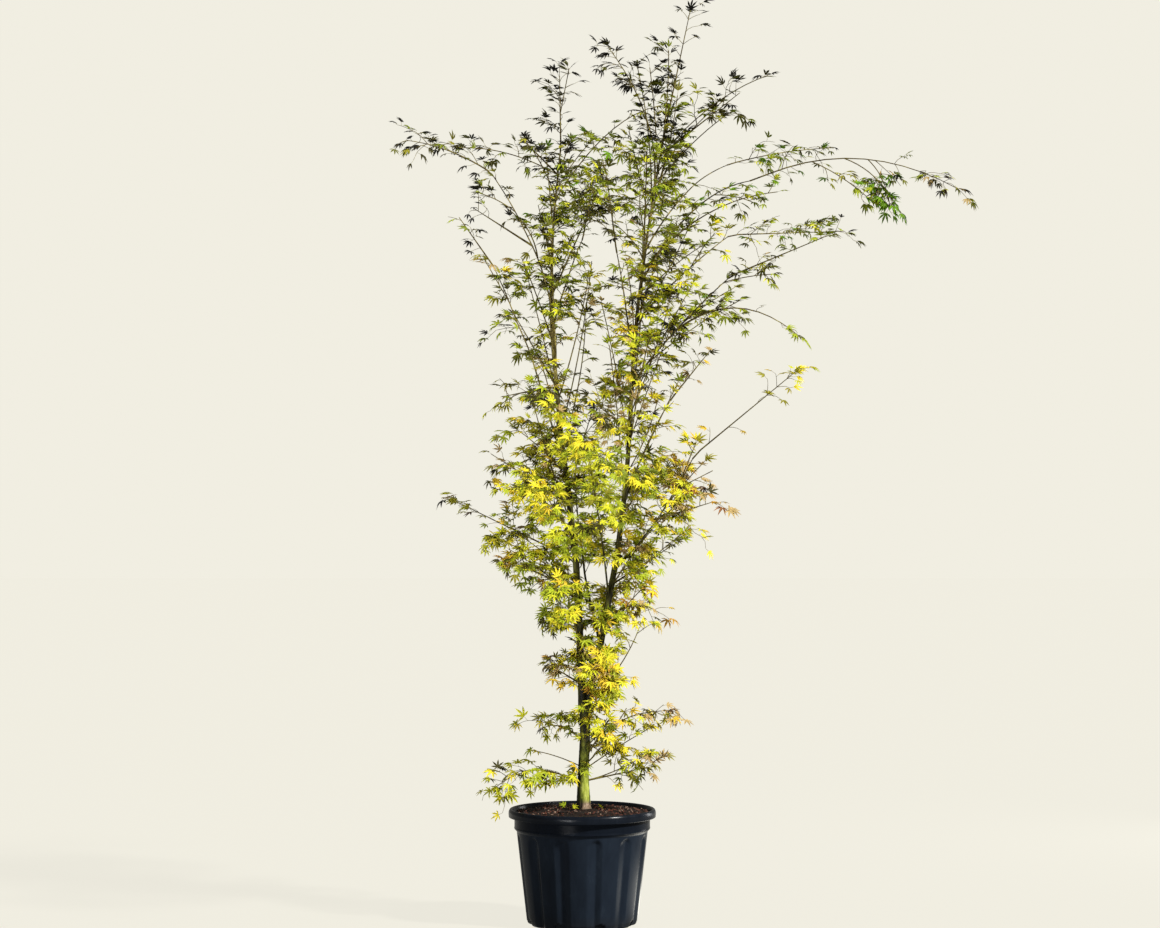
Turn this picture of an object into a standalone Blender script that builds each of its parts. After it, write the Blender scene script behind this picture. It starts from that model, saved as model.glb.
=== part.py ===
"""Potted Japanese maple: a short trunk, two upright stems and their arching boughs, in a fluted pot.

Metres, +Z up, front towards -Y. The pot stands on the origin. Every limb runs from a share of its
host's length to a named tip, and every mass of foliage grows from one stem by the same seeded rule.
"""

import math
import random
from typing import NamedTuple

import bmesh
import bpy
import numpy as np
from mathutils import Matrix, Vector

GAP = 0.0003                      # clearance between pieces that touch

# Pot
POT_STEPS = 48                    # columns round the pot, four to each flute
RIM_RADIUS = 0.200
RIM_TOP = 0.305
RIM_BAND = 0.022                  # height of the rolled lip
RIM_ROUND = 0.003
LIP_RADIUS = 0.188                # inner edge of the lip
COLLAR_RADIUS = 0.184
COLLAR_FOOT = 0.248
BODY_RADIUS = 0.1775              # just under the collar's step
BASE_RADIUS = 0.1490
BASE_CORNER = 0.010
WALL = 0.0045
FLOOR = 0.005
FLUTE_DEPTH = 0.0022
FLUTE_TOP = 0.228
FLUTE_RUN_IN = 0.010              # height over which a flute reaches its depth
NOTCHES = 8
NOTCH_SIZE = (0.030, 0.025, 0.015)
NOTCH_START = math.radians(18.7)  # azimuth of the first notch, from the front

# Soil
SOIL_EDGE = 0.283
SOIL_CROWN = 0.305
SOIL_FLAT = 0.030                 # radius of the level patch that the trunk stands on
SOIL_SHOULDER = 0.75              # how much of the crown's rise is left half way out

# Trunk
TRUNK_FOOT = (0.0045, 0.0, SOIL_CROWN + GAP)
TRUNK_FORK = (0.0080, 0.0, 0.600)
TRUNK_THICK = (0.043, 0.027, 0.035)   # at the root flare, the waist and the fork
TRUNK_BOW = (-0.001, 0.0, 0.0)
TRUNK_SWAY = (-0.0015, 0.0, 0.0)

# Limbs
LIMB_PITCH = 0.110                # spacing of the points along a limb
STEM_PITCH = 0.070                # and along the stem of a mass
TIP_RUN = 0.012                   # a limb that goes on from a tip starts straight for this long
CUTTER_FOOT = 0.05                # how far a cutter overshoots its limb, in point spacings
CUTTER_TIP = 0.02

# Twigs and leaves
TWIG_ANGLE = math.radians(52)     # from the stem
TWIG_SLANTS = (0.9, 0.15)         # turn of every other pair round the stem, from level
SLANT_SPREAD = 0.5
LAST_PAIR = 0.92                  # share of the stem by which the twigs have ended
END_TWIG = 0.6                    # length of a twig at the stem's ends, as a share of the reach
STEM_THICK = (0.0080, 0.0058)     # a mass's own stem, at most
SLIMMER = 0.95                    # and no thicker than this share of its host
TWIG_THICK = (0.0026, 0.0024)
TWIG_PROBE = (0.35, 0.5, 0.65, 0.8, 1.0)
ATTEMPTS = 12                     # tries at finding a twig room, each a little shorter
SHORTEN = 0.75                    # share of its length that the last try gives up
WIDE_REACH = 0.100                # from this reach on, twigs carry a leaf part way along too
MIDDLE_LEAF = 0.55                # where on the twig that leaf sits
MIDDLE_TURN = 1.1                 # how far it turns aside from the twig
MIDDLE_SIZE = 0.85
LEAF_SIZES = (0.85, 1.1)          # of a leaf at a twig's tip, to the mass's own leaf
END_LEAVES = ((1.0, 0.0, 1.0), (0.94, 1.0, 0.85))   # share of the stem, turn aside and size
DROOP = (0.1, 0.9)                # how far a leaf hangs below its twig's direction
ROLL = 0.9                        # how far it may tilt to either side, in radians
LEAF_THICK = 0.0030
LEAF_SINK = 0.0008                # how deep a leaf's root lies in a twig's end
LIMB_CLEAR = 0.006                # of a twig or leaf from any limb
SPACE_MARGIN = 0.005              # how much nearer its own stem than any other a leaf must be
POT_CLEAR = (0.215, 0.322)        # nothing hangs inside this radius below this height

# A leaf seen from above, along its length: middle lobe, notch, side lobe, root, and the same again
LEAF_RIM = ((1.0, 0.0), (0.60, 0.15), (0.68, 0.42), (0.0, 0.0), (0.68, -0.42), (0.60, -0.15))
LEAF_HEART = 0.36                 # where the leaf is thickest, as a share of the length
RIB_PROBE = (0.2, 0.32, 0.44, 0.56, 0.68, 0.8, 0.92, 1.0)


class Limb(NamedTuple):
    """A bough: it leaves its host part way along and ends at its tip."""

    host: str
    share: float
    tip: tuple
    thick: tuple
    bow: tuple = (0.0, 0.0, 0.0)    # how far the middle stands off the straight line
    sway: tuple = (0.0, 0.0, 0.0)   # how far the first half swings out, and the second half back
    aside: float = 0.0              # offset of the foot on the trunk's flat top


class Mass(NamedTuple):
    """A mass of foliage: one stem to its end, with twigs as long as its reach."""

    host: str
    share: float
    end: tuple
    reach: float
    pairs: int
    finish: str
    leaf: float = 0.110
    bow: tuple = (0.0, 0.0, 0.0)
    bare: float = 0.15              # share of the stem that carries no twigs


LIMBS = {
    "stem_left": Limb("trunk", 1.0, (-0.060, 0.030, 2.100), (0.0220, 0.0050),
                      bow=(-0.030, 0.010, 0.0), sway=(0.018, 0.0, 0.0), aside=-0.0075),
    "stem_right": Limb("trunk", 1.0, (0.235, -0.010, 2.200), (0.0195, 0.0045),
                       bow=(0.006, -0.010, 0.0), sway=(0.018, 0.0, 0.0), aside=0.0095),
    "stem_back": Limb("stem_right", 0.115, (-0.020, 0.190, 1.220), (0.0110, 0.0060),
                      bow=(-0.012, 0.020, 0.0)),
    "bough_left_mid": Limb("stem_left", 0.400, (-0.230, -0.190, 1.755), (0.0085, 0.0050),
                           bow=(0.010, 0.0, 0.020)),
    "bough_left_high": Limb("stem_left", 0.610, (-0.240, -0.090, 2.020), (0.0090, 0.0048),
                            bow=(0.050, 0.0, 0.0)),
    "bough_back": Limb("stem_left", 0.245, (-0.055, 0.280, 1.100), (0.0085, 0.0055),
                       bow=(0.0, 0.0, 0.015)),
    "bough_front": Limb("stem_right", 0.190, (0.040, -0.280, 1.120), (0.0085, 0.0055),
                        bow=(0.0, 0.0, 0.015)),
    "bough_right_spread": Limb("stem_right", 0.240, (0.293, -0.160, 1.256), (0.0085, 0.0045),
                               bow=(0.005, 0.0, -0.020)),
    "bough_right_low": Limb("stem_right", 0.345, (0.245, 0.140, 1.425), (0.0080, 0.0050),
                            bow=(0.0, 0.0, 0.020)),
    "bough_right_red": Limb("stem_right", 0.545, (0.385, -0.240, 1.730), (0.0090, 0.0048),
                            bow=(-0.010, 0.0, 0.008)),
    "bough_right_mid": Limb("stem_right", 0.650, (0.410, 0.220, 1.890), (0.0080, 0.0045),
                            bow=(0.0, 0.0, 0.015)),
    "bough_right_long": Limb("stem_right", 0.715, (0.450, -0.100, 2.005), (0.0082, 0.0045),
                             bow=(-0.010, 0.0, 0.055)),
    "bough_right_top": Limb("stem_right", 0.770, (0.405, 0.170, 2.085), (0.0070, 0.0042),
                            bow=(-0.005, 0.0, 0.035)),
    "bough_upper_back": Limb("stem_left", 0.680, (0.000, 0.310, 1.890), (0.0075, 0.0048),
                             bow=(0.0, 0.0, 0.020)),
    "bough_upper_front": Limb("stem_right", 0.580, (0.090, -0.310, 1.790), (0.0075, 0.0048),
                              bow=(0.0, 0.0, 0.020)),
}

MASSES = {
    # round the trunk
    "leaves_foot_left": Mass("trunk", 0.22, (-0.240, -0.060, 0.370), 0.080, 3, "gold",
        leaf=0.085, bow=(0.0, 0.0, 0.050), bare=0.24),
    "leaves_foot_right": Mass("trunk", 0.28, (0.230, -0.020, 0.435), 0.080, 3, "gold",
        leaf=0.085, bare=0.26),
    "leaves_fork_left": Mass("trunk", 0.62, (-0.120, 0.040, 0.520), 0.070, 2, "green",
        leaf=0.085, bow=(0.0, 0.0, 0.030)),
    "leaves_fork_right": Mass("trunk", 0.45, (0.235, -0.050, 0.580), 0.065, 3, "gold",
        leaf=0.085, bow=(-0.030, 0.0, 0.035), bare=0.40),
    "leaves_collar_left": Mass("stem_left", 0.05, (-0.100, 0.030, 0.705), 0.055, 2, "gold",
        leaf=0.075),
    "leaves_collar_right": Mass("stem_right", 0.045, (0.090, -0.120, 0.665), 0.085, 3, "gold",
        leaf=0.090),
    "leaves_hang_left": Mass("stem_left", 0.15, (-0.095, 0.030, 0.820), 0.065, 3, "green",
        leaf=0.090, bow=(0.0, 0.0, 0.020)),
    "leaves_hang_right": Mass("stem_right", 0.15, (0.210, 0.060, 0.840), 0.080, 3, "gold",
        leaf=0.090, bow=(0.0, 0.0, 0.035)),
    # the low crown
    "leaves_left_wide": Mass("stem_left", 0.2, (-0.250, -0.130, 0.975), 0.110, 3, "green",
        bow=(0.0, 0.0, 0.030), bare=0.25),
    "leaves_left_row": Mass("stem_left", 0.27, (-0.350, 0.130, 1.145), 0.060, 2, "green",
        leaf=0.085, bare=0.35),
    "leaves_left_sparse": Mass("stem_left", 0.37, (-0.250, 0.080, 1.275), 0.085, 3, "green",
        leaf=0.090),
    "leaves_front": Mass("bough_front", 1.0, (0.010, -0.530, 1.290), 0.130, 3, "green", bare=0.05),
    "leaves_front_left": Mass("stem_left", 0.31, (-0.110, -0.270, 1.180), 0.110, 4, "green",
        leaf=0.100),
    "leaves_back": Mass("bough_back", 1.0, (-0.110, 0.540, 1.280), 0.130, 3, "green", bare=0.05),
    "leaves_back_right": Mass("stem_right", 0.33, (0.200, 0.360, 1.230), 0.120, 3, "green"),
    "leaves_right_mid": Mass("stem_right", 0.215, (0.270, 0.170, 1.035), 0.100, 3, "green",
        leaf=0.090),
    "leaves_right_gold": Mass("bough_right_spread", 0.5, (0.340, -0.210, 1.140), 0.090, 3, "gold"),
    "leaves_right_spread": Mass("bough_right_spread", 1.0, (0.555, -0.310, 1.480), 0.055, 2, "gold",
        leaf=0.070, bare=0.08),
    # the middle crown
    "leaves_stem_back": Mass("stem_back", 1.0, (0.030, 0.350, 1.410), 0.120, 4, "green",
        leaf=0.100, bare=0.05),
    "leaves_left_bend": Mass("bough_left_mid", 0.45, (-0.230, 0.060, 1.430), 0.090, 3, "green",
        leaf=0.090),
    "leaves_left_inner": Mass("stem_left", 0.58, (-0.190, 0.220, 1.670), 0.100, 3, "green",
        leaf=0.090),
    "leaves_left_outer": Mass("bough_left_mid", 1.0, (-0.320, -0.330, 1.880), 0.070, 2, "dark",
        leaf=0.085, bare=0.05),
    "leaves_centre_low": Mass("stem_right", 0.47, (0.030, -0.130, 1.410), 0.090, 3, "green",
        leaf=0.090),
    "leaves_right_shoot": Mass("bough_right_low", 1.0, (0.400, 0.280, 1.620), 0.090, 3, "bright",
        bare=0.05),
    "leaves_right_dense": Mass("bough_right_red", 0.5, (0.580, -0.200, 1.575), 0.095, 3, "bright",
        bow=(0.0, 0.0, 0.070)),
    "leaves_right_red": Mass("bough_right_red", 1.0, (0.625, -0.440, 1.820), 0.080, 3, "bright",
        leaf=0.085, bare=0.05),
    # the upper crown
    "leaves_left_fork": Mass("bough_left_high", 0.62, (-0.330, 0.260, 1.990), 0.080, 3, "dark",
        leaf=0.085, bare=0.20),
    "leaves_left_arch": Mass("bough_left_high", 1.0, (-0.465, -0.200, 2.100), 0.080, 3, "dark",
        leaf=0.085, bow=(0.0, 0.0, 0.015), bare=0.05),
    "leaves_left_crown": Mass("stem_left", 0.8, (-0.140, 0.230, 2.050), 0.120, 4, "green",
        leaf=0.090),
    "leaves_centre": Mass("stem_left", 0.74, (0.050, -0.120, 1.990), 0.110, 4, "green", leaf=0.090),
    "leaves_left_row_top": Mass("stem_left", 0.96, (-0.215, -0.160, 2.165), 0.050, 2, "dark",
        leaf=0.075, bare=0.30),
    "leaves_left_top": Mass("stem_left", 1.0, (-0.062, 0.020, 2.310), 0.080, 2, "dark",
        leaf=0.075, bare=0.02),
    "leaves_upper_back": Mass("bough_upper_back", 1.0, (0.030, 0.560, 2.090), 0.130, 3, "green",
        bare=0.05),
    "leaves_upper_front": Mass("bough_upper_front", 1.0, (0.060, -0.550, 1.970), 0.130, 3, "green",
        bare=0.05),
    "leaves_right_crown": Mass("stem_right", 0.82, (0.240, 0.290, 2.120), 0.118, 4, "green",
        leaf=0.090),
    "leaves_right_crown_front": Mass("stem_right", 0.74, (0.170, -0.280, 2.070), 0.120, 4, "green",
        leaf=0.090),
    "leaves_dark_top": Mass("stem_right", 0.85, (0.070, -0.030, 2.380), 0.065, 3, "dark",
        leaf=0.075, bow=(0.050, 0.0, 0.0), bare=0.45),
    "leaves_right_top": Mass("stem_right", 1.0, (0.294, 0.010, 2.480), 0.085, 3, "dark",
        leaf=0.075, bare=0.02),
    "leaves_right_top_side": Mass("stem_right", 0.93, (0.430, -0.080, 2.250), 0.080, 2, "bright",
        leaf=0.085, bare=0.30),
    "leaves_arch_top": Mass("bough_right_top", 1.0, (0.740, 0.350, 2.160), 0.065, 3, "bright",
        leaf=0.085, bow=(0.0, 0.0, 0.010), bare=0.05),
    "leaves_arch_mid": Mass("bough_right_mid", 1.0, (0.760, 0.440, 1.930), 0.070, 3, "bright",
        leaf=0.085, bare=0.05),
    "leaves_arch_long": Mass("bough_right_long", 1.0, (1.000, -0.170, 1.975), 0.090, 4, "bright",
        leaf=0.085, bow=(0.0, 0.0, 0.070), bare=0.05),
}

FINISHES = {
    "pot": ((0.014, 0.017, 0.024), 0.38),
    "soil": ((0.045, 0.026, 0.016), 0.95),
    "trunk": ((0.115, 0.095, 0.050), 0.75),
    "stems": ((0.045, 0.038, 0.024), 0.75),
    "green": ((0.190, 0.220, 0.030), 0.60),
    "dark": ((0.045, 0.070, 0.025), 0.60),
    "bright": ((0.110, 0.240, 0.030), 0.60),
    "gold": ((0.480, 0.330, 0.030), 0.60),
}


def finish(name):
    """The Principled material of that name, made once."""
    found = bpy.data.materials.get(name)
    if found:
        return found
    colour, roughness = FINISHES[name]
    material = bpy.data.materials.new(name)
    material.use_nodes = True
    shader = material.node_tree.nodes["Principled BSDF"]
    shader.inputs["Base Color"].default_value = (*colour, 1.0)
    shader.inputs["Roughness"].default_value = roughness
    shader.inputs["Metallic"].default_value = 0.0
    material.diffuse_color = (*colour, 1.0)
    return material


def new_object(name, data, collection, material):
    """An object in the collection, with one material."""
    thing = bpy.data.objects.new(name, data)
    collection.objects.link(thing)
    thing.data.materials.clear()
    thing.data.materials.append(finish(material))
    return thing


def smooth(mesh):
    """Smooth shading, with edges sharper than 40 degrees kept."""
    mesh.shade_smooth()
    mesh.set_sharp_from_angle(angle=math.radians(40))


# ---------------------------------------------------------------- pot and soil

def turned(name, profile, collection, material):
    """A solid of revolution: the profile in the XZ plane, turned by a Screw modifier.

    A stretch of the profile that runs along the axis is left out, as it would turn to nothing.
    """
    mesh = bpy.data.meshes.new(name)
    edges = []
    for k, (start, end) in enumerate(zip(profile[:-1], profile[1:])):
        if start[0] > 0.0 or end[0] > 0.0:
            edges.append((k, k + 1))
    mesh.from_pydata([(radius, 0.0, z) for radius, z in profile], edges, [])
    thing = new_object(name, mesh, collection, material)
    screw = thing.modifiers.new("Turn", "SCREW")
    screw.steps = POT_STEPS
    screw.render_steps = POT_STEPS
    screw.use_merge_vertices = True
    screw.merge_threshold = 0.00005
    apply_modifiers(thing)
    weld(thing.data)
    return thing


def apply_modifiers(thing):
    """Replaces the object's mesh by what its modifiers make, and drops them."""
    bpy.context.view_layer.update()
    evaluated = thing.evaluated_get(bpy.context.evaluated_depsgraph_get())
    mesh = bpy.data.meshes.new_from_object(evaluated)
    mesh.name = thing.name
    thing.modifiers.clear()
    thing.data = mesh
    return thing


def weld(mesh):
    """Joins the points that lie on each other and makes every face of the closed mesh look out."""
    work = bmesh.new()
    work.from_mesh(mesh)
    bmesh.ops.remove_doubles(work, verts=work.verts[:], dist=0.00001)
    bmesh.ops.recalc_face_normals(work, faces=work.faces[:])
    work.to_mesh(mesh)
    work.free()


def pot_radius_inside(z):
    """Inner wall of the pot at a height: it follows the body, then the collar, out to the lip."""
    body_foot = (FLOOR, BASE_RADIUS - WALL - FLUTE_DEPTH)
    body_top = (COLLAR_FOOT - WALL, BODY_RADIUS - WALL - FLUTE_DEPTH)
    collar_foot = (COLLAR_FOOT + WALL, COLLAR_RADIUS - WALL)
    lip = (RIM_TOP - RIM_ROUND, LIP_RADIUS)
    heights, radii = zip(body_foot, body_top, collar_foot, lip)
    return float(np.interp(z, heights, radii))


def build_pot(collection, cutters):
    """A blow-moulded pot: rolled lip, collar, twelve shallow flutes and notches round its foot."""
    lip_foot = RIM_TOP - RIM_BAND
    flute_foot = FLUTE_TOP - FLUTE_RUN_IN

    def body(z):
        share = (z - BASE_CORNER) / (COLLAR_FOOT - BASE_CORNER)
        return BASE_RADIUS + (BODY_RADIUS - BASE_RADIUS) * share

    outer = [
        (LIP_RADIUS, RIM_TOP - RIM_ROUND),
        (LIP_RADIUS + RIM_ROUND, RIM_TOP),
        (RIM_RADIUS - RIM_ROUND, RIM_TOP),
        (RIM_RADIUS, RIM_TOP - RIM_ROUND),
        (RIM_RADIUS, lip_foot),
        (COLLAR_RADIUS, lip_foot),
        (COLLAR_RADIUS, COLLAR_FOOT + RIM_ROUND),
        (BODY_RADIUS, COLLAR_FOOT - RIM_ROUND),
        (body(FLUTE_TOP), FLUTE_TOP),
        (body(flute_foot), flute_foot),
        (BASE_RADIUS, BASE_CORNER),
        (BASE_RADIUS - BASE_CORNER / 2, 0.0),
        (0.0, 0.0),
    ]
    inner = [(0.0, FLOOR)]
    for z in (FLOOR, COLLAR_FOOT - WALL, COLLAR_FOOT + WALL, RIM_TOP - RIM_ROUND):
        inner.append((pot_radius_inside(z), z))
    pot = turned("pot", outer + inner, collection, "pot")
    for vertex in pot.data.vertices:
        x, y, z = vertex.co
        radius = math.hypot(x, y)
        column = round(math.atan2(x, -y) / (2 * math.pi) * POT_STEPS)
        on_wall = BASE_CORNER / 2 < z <= flute_foot + 1e-6 and radius > body(z) - 1e-4
        if on_wall and column % 4 in (1, 2):
            shrink = (radius - FLUTE_DEPTH) / radius
            vertex.co.x *= shrink
            vertex.co.y *= shrink

    for k in range(NOTCHES):
        angle = NOTCH_START + k * 2 * math.pi / NOTCHES
        bpy.ops.mesh.primitive_cube_add(size=1.0)
        cutter = bpy.context.active_object
        cutter.name = f"notch_cutter_{k + 1}"
        for held in list(cutter.users_collection):
            held.objects.unlink(cutter)
        cutters.objects.link(cutter)
        depth, width, height = NOTCH_SIZE
        cutter.scale = (width, depth, height * 2)
        cutter.rotation_euler = (0.0, 0.0, angle)
        cutter.location = (BASE_RADIUS * math.sin(angle), -BASE_RADIUS * math.cos(angle), 0.0)
        cutter.display_type = "WIRE"
        cutter.hide_render = True
        cut = pot.modifiers.new(f"Notch {k + 1}", "BOOLEAN")
        cut.operation = "DIFFERENCE"
        cut.solver = "EXACT"
        cut.object = cutter
    smooth(pot.data)


def build_soil(collection):
    """The root ball fills the pot, with a low crown round the trunk's foot."""
    profile = [(0.0, SOIL_CROWN), (SOIL_FLAT, SOIL_CROWN)]
    edge = pot_radius_inside(SOIL_EDGE) - GAP
    middle = (SOIL_FLAT + edge) / 2
    profile.append((middle, SOIL_EDGE + (SOIL_CROWN - SOIL_EDGE) * SOIL_SHOULDER))
    profile.append((edge, SOIL_EDGE))
    for z in (COLLAR_FOOT + WALL, COLLAR_FOOT - WALL, FLOOR + GAP):
        profile.append((pot_radius_inside(z) - GAP, z))
    profile.append((0.0, FLOOR + GAP))
    soil = turned("soil", profile, collection, "soil")
    smooth(soil.data)


# ---------------------------------------------------------------- limbs

class Path(NamedTuple):
    """A centre line and its radius at each point."""

    points: np.ndarray
    radii: np.ndarray


def swept(foot, limb_tip, bow, sway, count):
    """Points from foot to tip: a straight line, plus the bow as a parabola and the sway as a sine."""
    t = np.linspace(0.0, 1.0, count)[:, None]
    foot, limb_tip, bow, sway = (np.array(v, dtype=float) for v in (foot, limb_tip, bow, sway))
    return foot + (limb_tip - foot) * t + bow * 4 * t * (1 - t) + sway * np.sin(2 * np.pi * t)


def along(path, share):
    """Point and direction of a path at a share of its length."""
    steps = np.diff(path.points, axis=0)
    lengths = np.linalg.norm(steps, axis=1)
    ends = np.cumsum(lengths)
    piece = min(int(np.searchsorted(ends, share * ends[-1])), len(steps) - 1)
    left = ends[piece] - share * ends[-1]
    heading = steps[piece] / lengths[piece]
    return path.points[piece + 1] - heading * left, heading


def trunk_path():
    """The trunk's radius: a root flare that dies away upwards, and a swelling under the fork."""
    flare, waist, fork = (thick / 2 for thick in TRUNK_THICK)
    points = swept(TRUNK_FOOT, TRUNK_FORK, TRUNK_BOW, TRUNK_SWAY, 10)
    points[1, :2] = points[0, :2]
    points[-2, :2] = points[-1, :2]
    s = np.linspace(0.0, 1.0, len(points))
    return Path(points, waist + (flare - waist) * (1 - s) ** 4 + (fork - waist) * s ** 8)


def from_host(host, share, end, bow, sway, aside, pitch):
    """A limb's centre line: from the host's centre line, or 0.3 mm past its tip and straight on."""
    start, heading = along(host, share)
    length = np.linalg.norm(np.array(end) - start)
    count = max(4, round(length / pitch) + 1)
    if share < 1.0:
        return swept(start, end, bow, sway, count)
    start = start + heading * GAP + np.array((aside, 0.0, 0.0))
    collar = start + heading * TIP_RUN
    return np.vstack((start, swept(collar, end, bow, sway, count)))


def lay_out():
    """Centre lines of the trunk, the limbs and the stems of the masses, each after its host."""
    paths = {"trunk": trunk_path()}
    for name, limb in LIMBS.items():
        points = from_host(paths[limb.host], limb.share, limb.tip, limb.bow, limb.sway, limb.aside,
                           LIMB_PITCH)
        foot, end = (thick / 2 for thick in limb.thick)
        paths[name] = Path(points, np.linspace(foot, end, len(points)))
    stems = {}
    for name, mass in MASSES.items():
        points = from_host(paths[mass.host], mass.share, mass.end, mass.bow, (0.0, 0.0, 0.0), 0.0,
                           STEM_PITCH)
        foot, end = (thick / 2 for thick in STEM_THICK)
        host_radii = paths[mass.host].radii
        foot = min(foot, SLIMMER * np.interp(mass.share, (0.0, 1.0), host_radii[[0, -1]]))
        stems[name] = Path(points, np.linspace(foot, min(foot, end), len(points)))
    return paths, stems


def tube(name, path, sides, collection, material, extra=0.0):
    """A closed round tube along a path: a POLY curve with a bevel, made a mesh and its caps welded."""
    curve = bpy.data.curves.new(name, "CURVE")
    curve.dimensions = "3D"
    curve.bevel_resolution = (sides - 4) // 2
    curve.bevel_depth = 1.0
    curve.use_fill_caps = True
    spline = curve.splines.new("POLY")
    spline.points.add(len(path.points) - 1)
    for point, place, radius in zip(spline.points, path.points, path.radii):
        point.co = (*place, 1.0)
        point.radius = radius + extra
    drawn = bpy.data.objects.new(name + "_line", curve)
    collection.objects.link(drawn)
    bpy.context.view_layer.update()
    mesh = bpy.data.meshes.new_from_object(drawn.evaluated_get(bpy.context.evaluated_depsgraph_get()))
    mesh.name = name
    bpy.data.objects.remove(drawn)
    bpy.data.curves.remove(curve)
    weld(mesh)
    return new_object(name, mesh, collection, material)


def sides_of(name):
    """Facets round a limb: more on the thicker ones."""
    if name == "trunk":
        return 12
    return 8 if name in ("stem_left", "stem_right") else 6


def cutter_of(name, paths, cutters):
    """A copy of a limb, 0.3 mm fatter and a little longer, that shapes whatever grows on it."""
    found = cutters.objects.get(name + "_cutter")
    if found:
        return found
    points = paths[name].points.copy()
    points[0] -= (points[1] - points[0]) * CUTTER_FOOT
    points[-1] += (points[-1] - points[-2]) * CUTTER_TIP
    flats = math.cos(math.pi / sides_of(name))
    cutter = tube(name + "_cutter", Path(points, paths[name].radii), sides_of(name), cutters, "stems",
                  GAP / flats)
    cutter.display_type = "WIRE"
    cutter.hide_render = True
    return cutter


def cut_by(thing, cutter):
    """Leaves out of an object what its host takes up."""
    cut = thing.modifiers.new("Seat on " + cutter.name, "BOOLEAN")
    cut.operation = "DIFFERENCE"
    cut.solver = "EXACT"
    cut.object = cutter


def build_limbs(paths, collection, cutters):
    """The trunk and every limb, each limb's foot shaped to the limb that it grows on."""
    smooth(tube("trunk", paths["trunk"], sides_of("trunk"), collection, "trunk").data)
    for name, limb in LIMBS.items():
        thing = tube(name, paths[name], sides_of(name), collection, "stems")
        if limb.share < 1.0:
            cut_by(thing, cutter_of(limb.host, paths, cutters))
        elif name == "stem_right":
            cut_by(thing, cutter_of("stem_left", paths, cutters))
        smooth(thing.data)


# ---------------------------------------------------------------- masses of foliage

class Space:
    """Tells whether a twig or leaf keeps to its own mass's space, clear of every limb."""

    def __init__(self, paths, stems):
        self.limbs = self.pieces(paths.values())
        self.radii = np.concatenate([np.maximum(p.radii[:-1], p.radii[1:]) for p in paths.values()])
        self.stems = self.pieces(stems.values())
        self.owner = np.concatenate([[name] * (len(p.points) - 1) for name, p in stems.items()])

    @staticmethod
    def pieces(chosen):
        """The straight pieces of several paths, as start points and end points."""
        chosen = list(chosen)
        return (np.vstack([p.points[:-1] for p in chosen]), np.vstack([p.points[1:] for p in chosen]))

    @staticmethod
    def distances(points, pieces):
        """Distance of every point to every straight piece."""
        start, end = pieces
        run = end - start
        offset = points[:, None, :] - start[None, :, :]
        share = np.clip((offset * run).sum(-1) / (run * run).sum(-1), 0.0, 1.0)
        return np.linalg.norm(offset - share[..., None] * run, axis=-1)

    def has_room(self, points, name):
        """True where all the points are clear of limbs and pot, and nearest to their own stem."""
        points = np.array(points)
        over_pot = np.hypot(points[:, 0], points[:, 1]) < POT_CLEAR[0]
        if np.any(over_pot & (points[:, 2] < POT_CLEAR[1])):
            return False
        if np.any(self.distances(points, self.limbs) - self.radii < LIMB_CLEAR):
            return False
        to_stems = self.distances(points, self.stems)
        mine = to_stems[:, self.owner == name].min(axis=1)
        others = to_stems[:, self.owner != name].min(axis=1)
        return bool(np.all(others - mine > SPACE_MARGIN))


def unit(vector):
    """The vector at length one."""
    vector = np.array(vector, dtype=float)
    return vector / np.linalg.norm(vector)


def side_of(heading):
    """A level direction square to the heading."""
    side = np.cross(heading, (0.0, 0.0, 1.0))
    if np.linalg.norm(side) < 0.2:
        side = np.cross(heading, (0.0, 1.0, 0.0))
    return unit(side)


def leaf_frame(root, heading, length, roll):
    """Matrix of a leaf: X along it, Z out of its upper face, scaled to its length."""
    x = Vector(unit(heading))
    y = Vector(-side_of(np.array(x)))
    y = (Matrix.Rotation(roll, 3, x) @ y).normalized()
    z = x.cross(y)
    turn = Matrix((x, y, z)).transposed().to_4x4()
    return Matrix.Translation(Vector(root) - x * LEAF_SINK) @ turn @ Matrix.Scale(length, 4)


def leaf_probe(frame):
    """Points along a leaf's ribs and rim, close enough together to find anything that it touches."""
    rim = [Vector((*point, 0.0)) for point in LEAF_RIM]
    probe = [rim[0], rim[1], rim[5]]
    for lobe in (rim[0], rim[2], rim[4]):
        probe += [lobe * share for share in RIB_PROBE]
    return [frame @ point for point in probe]


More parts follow.
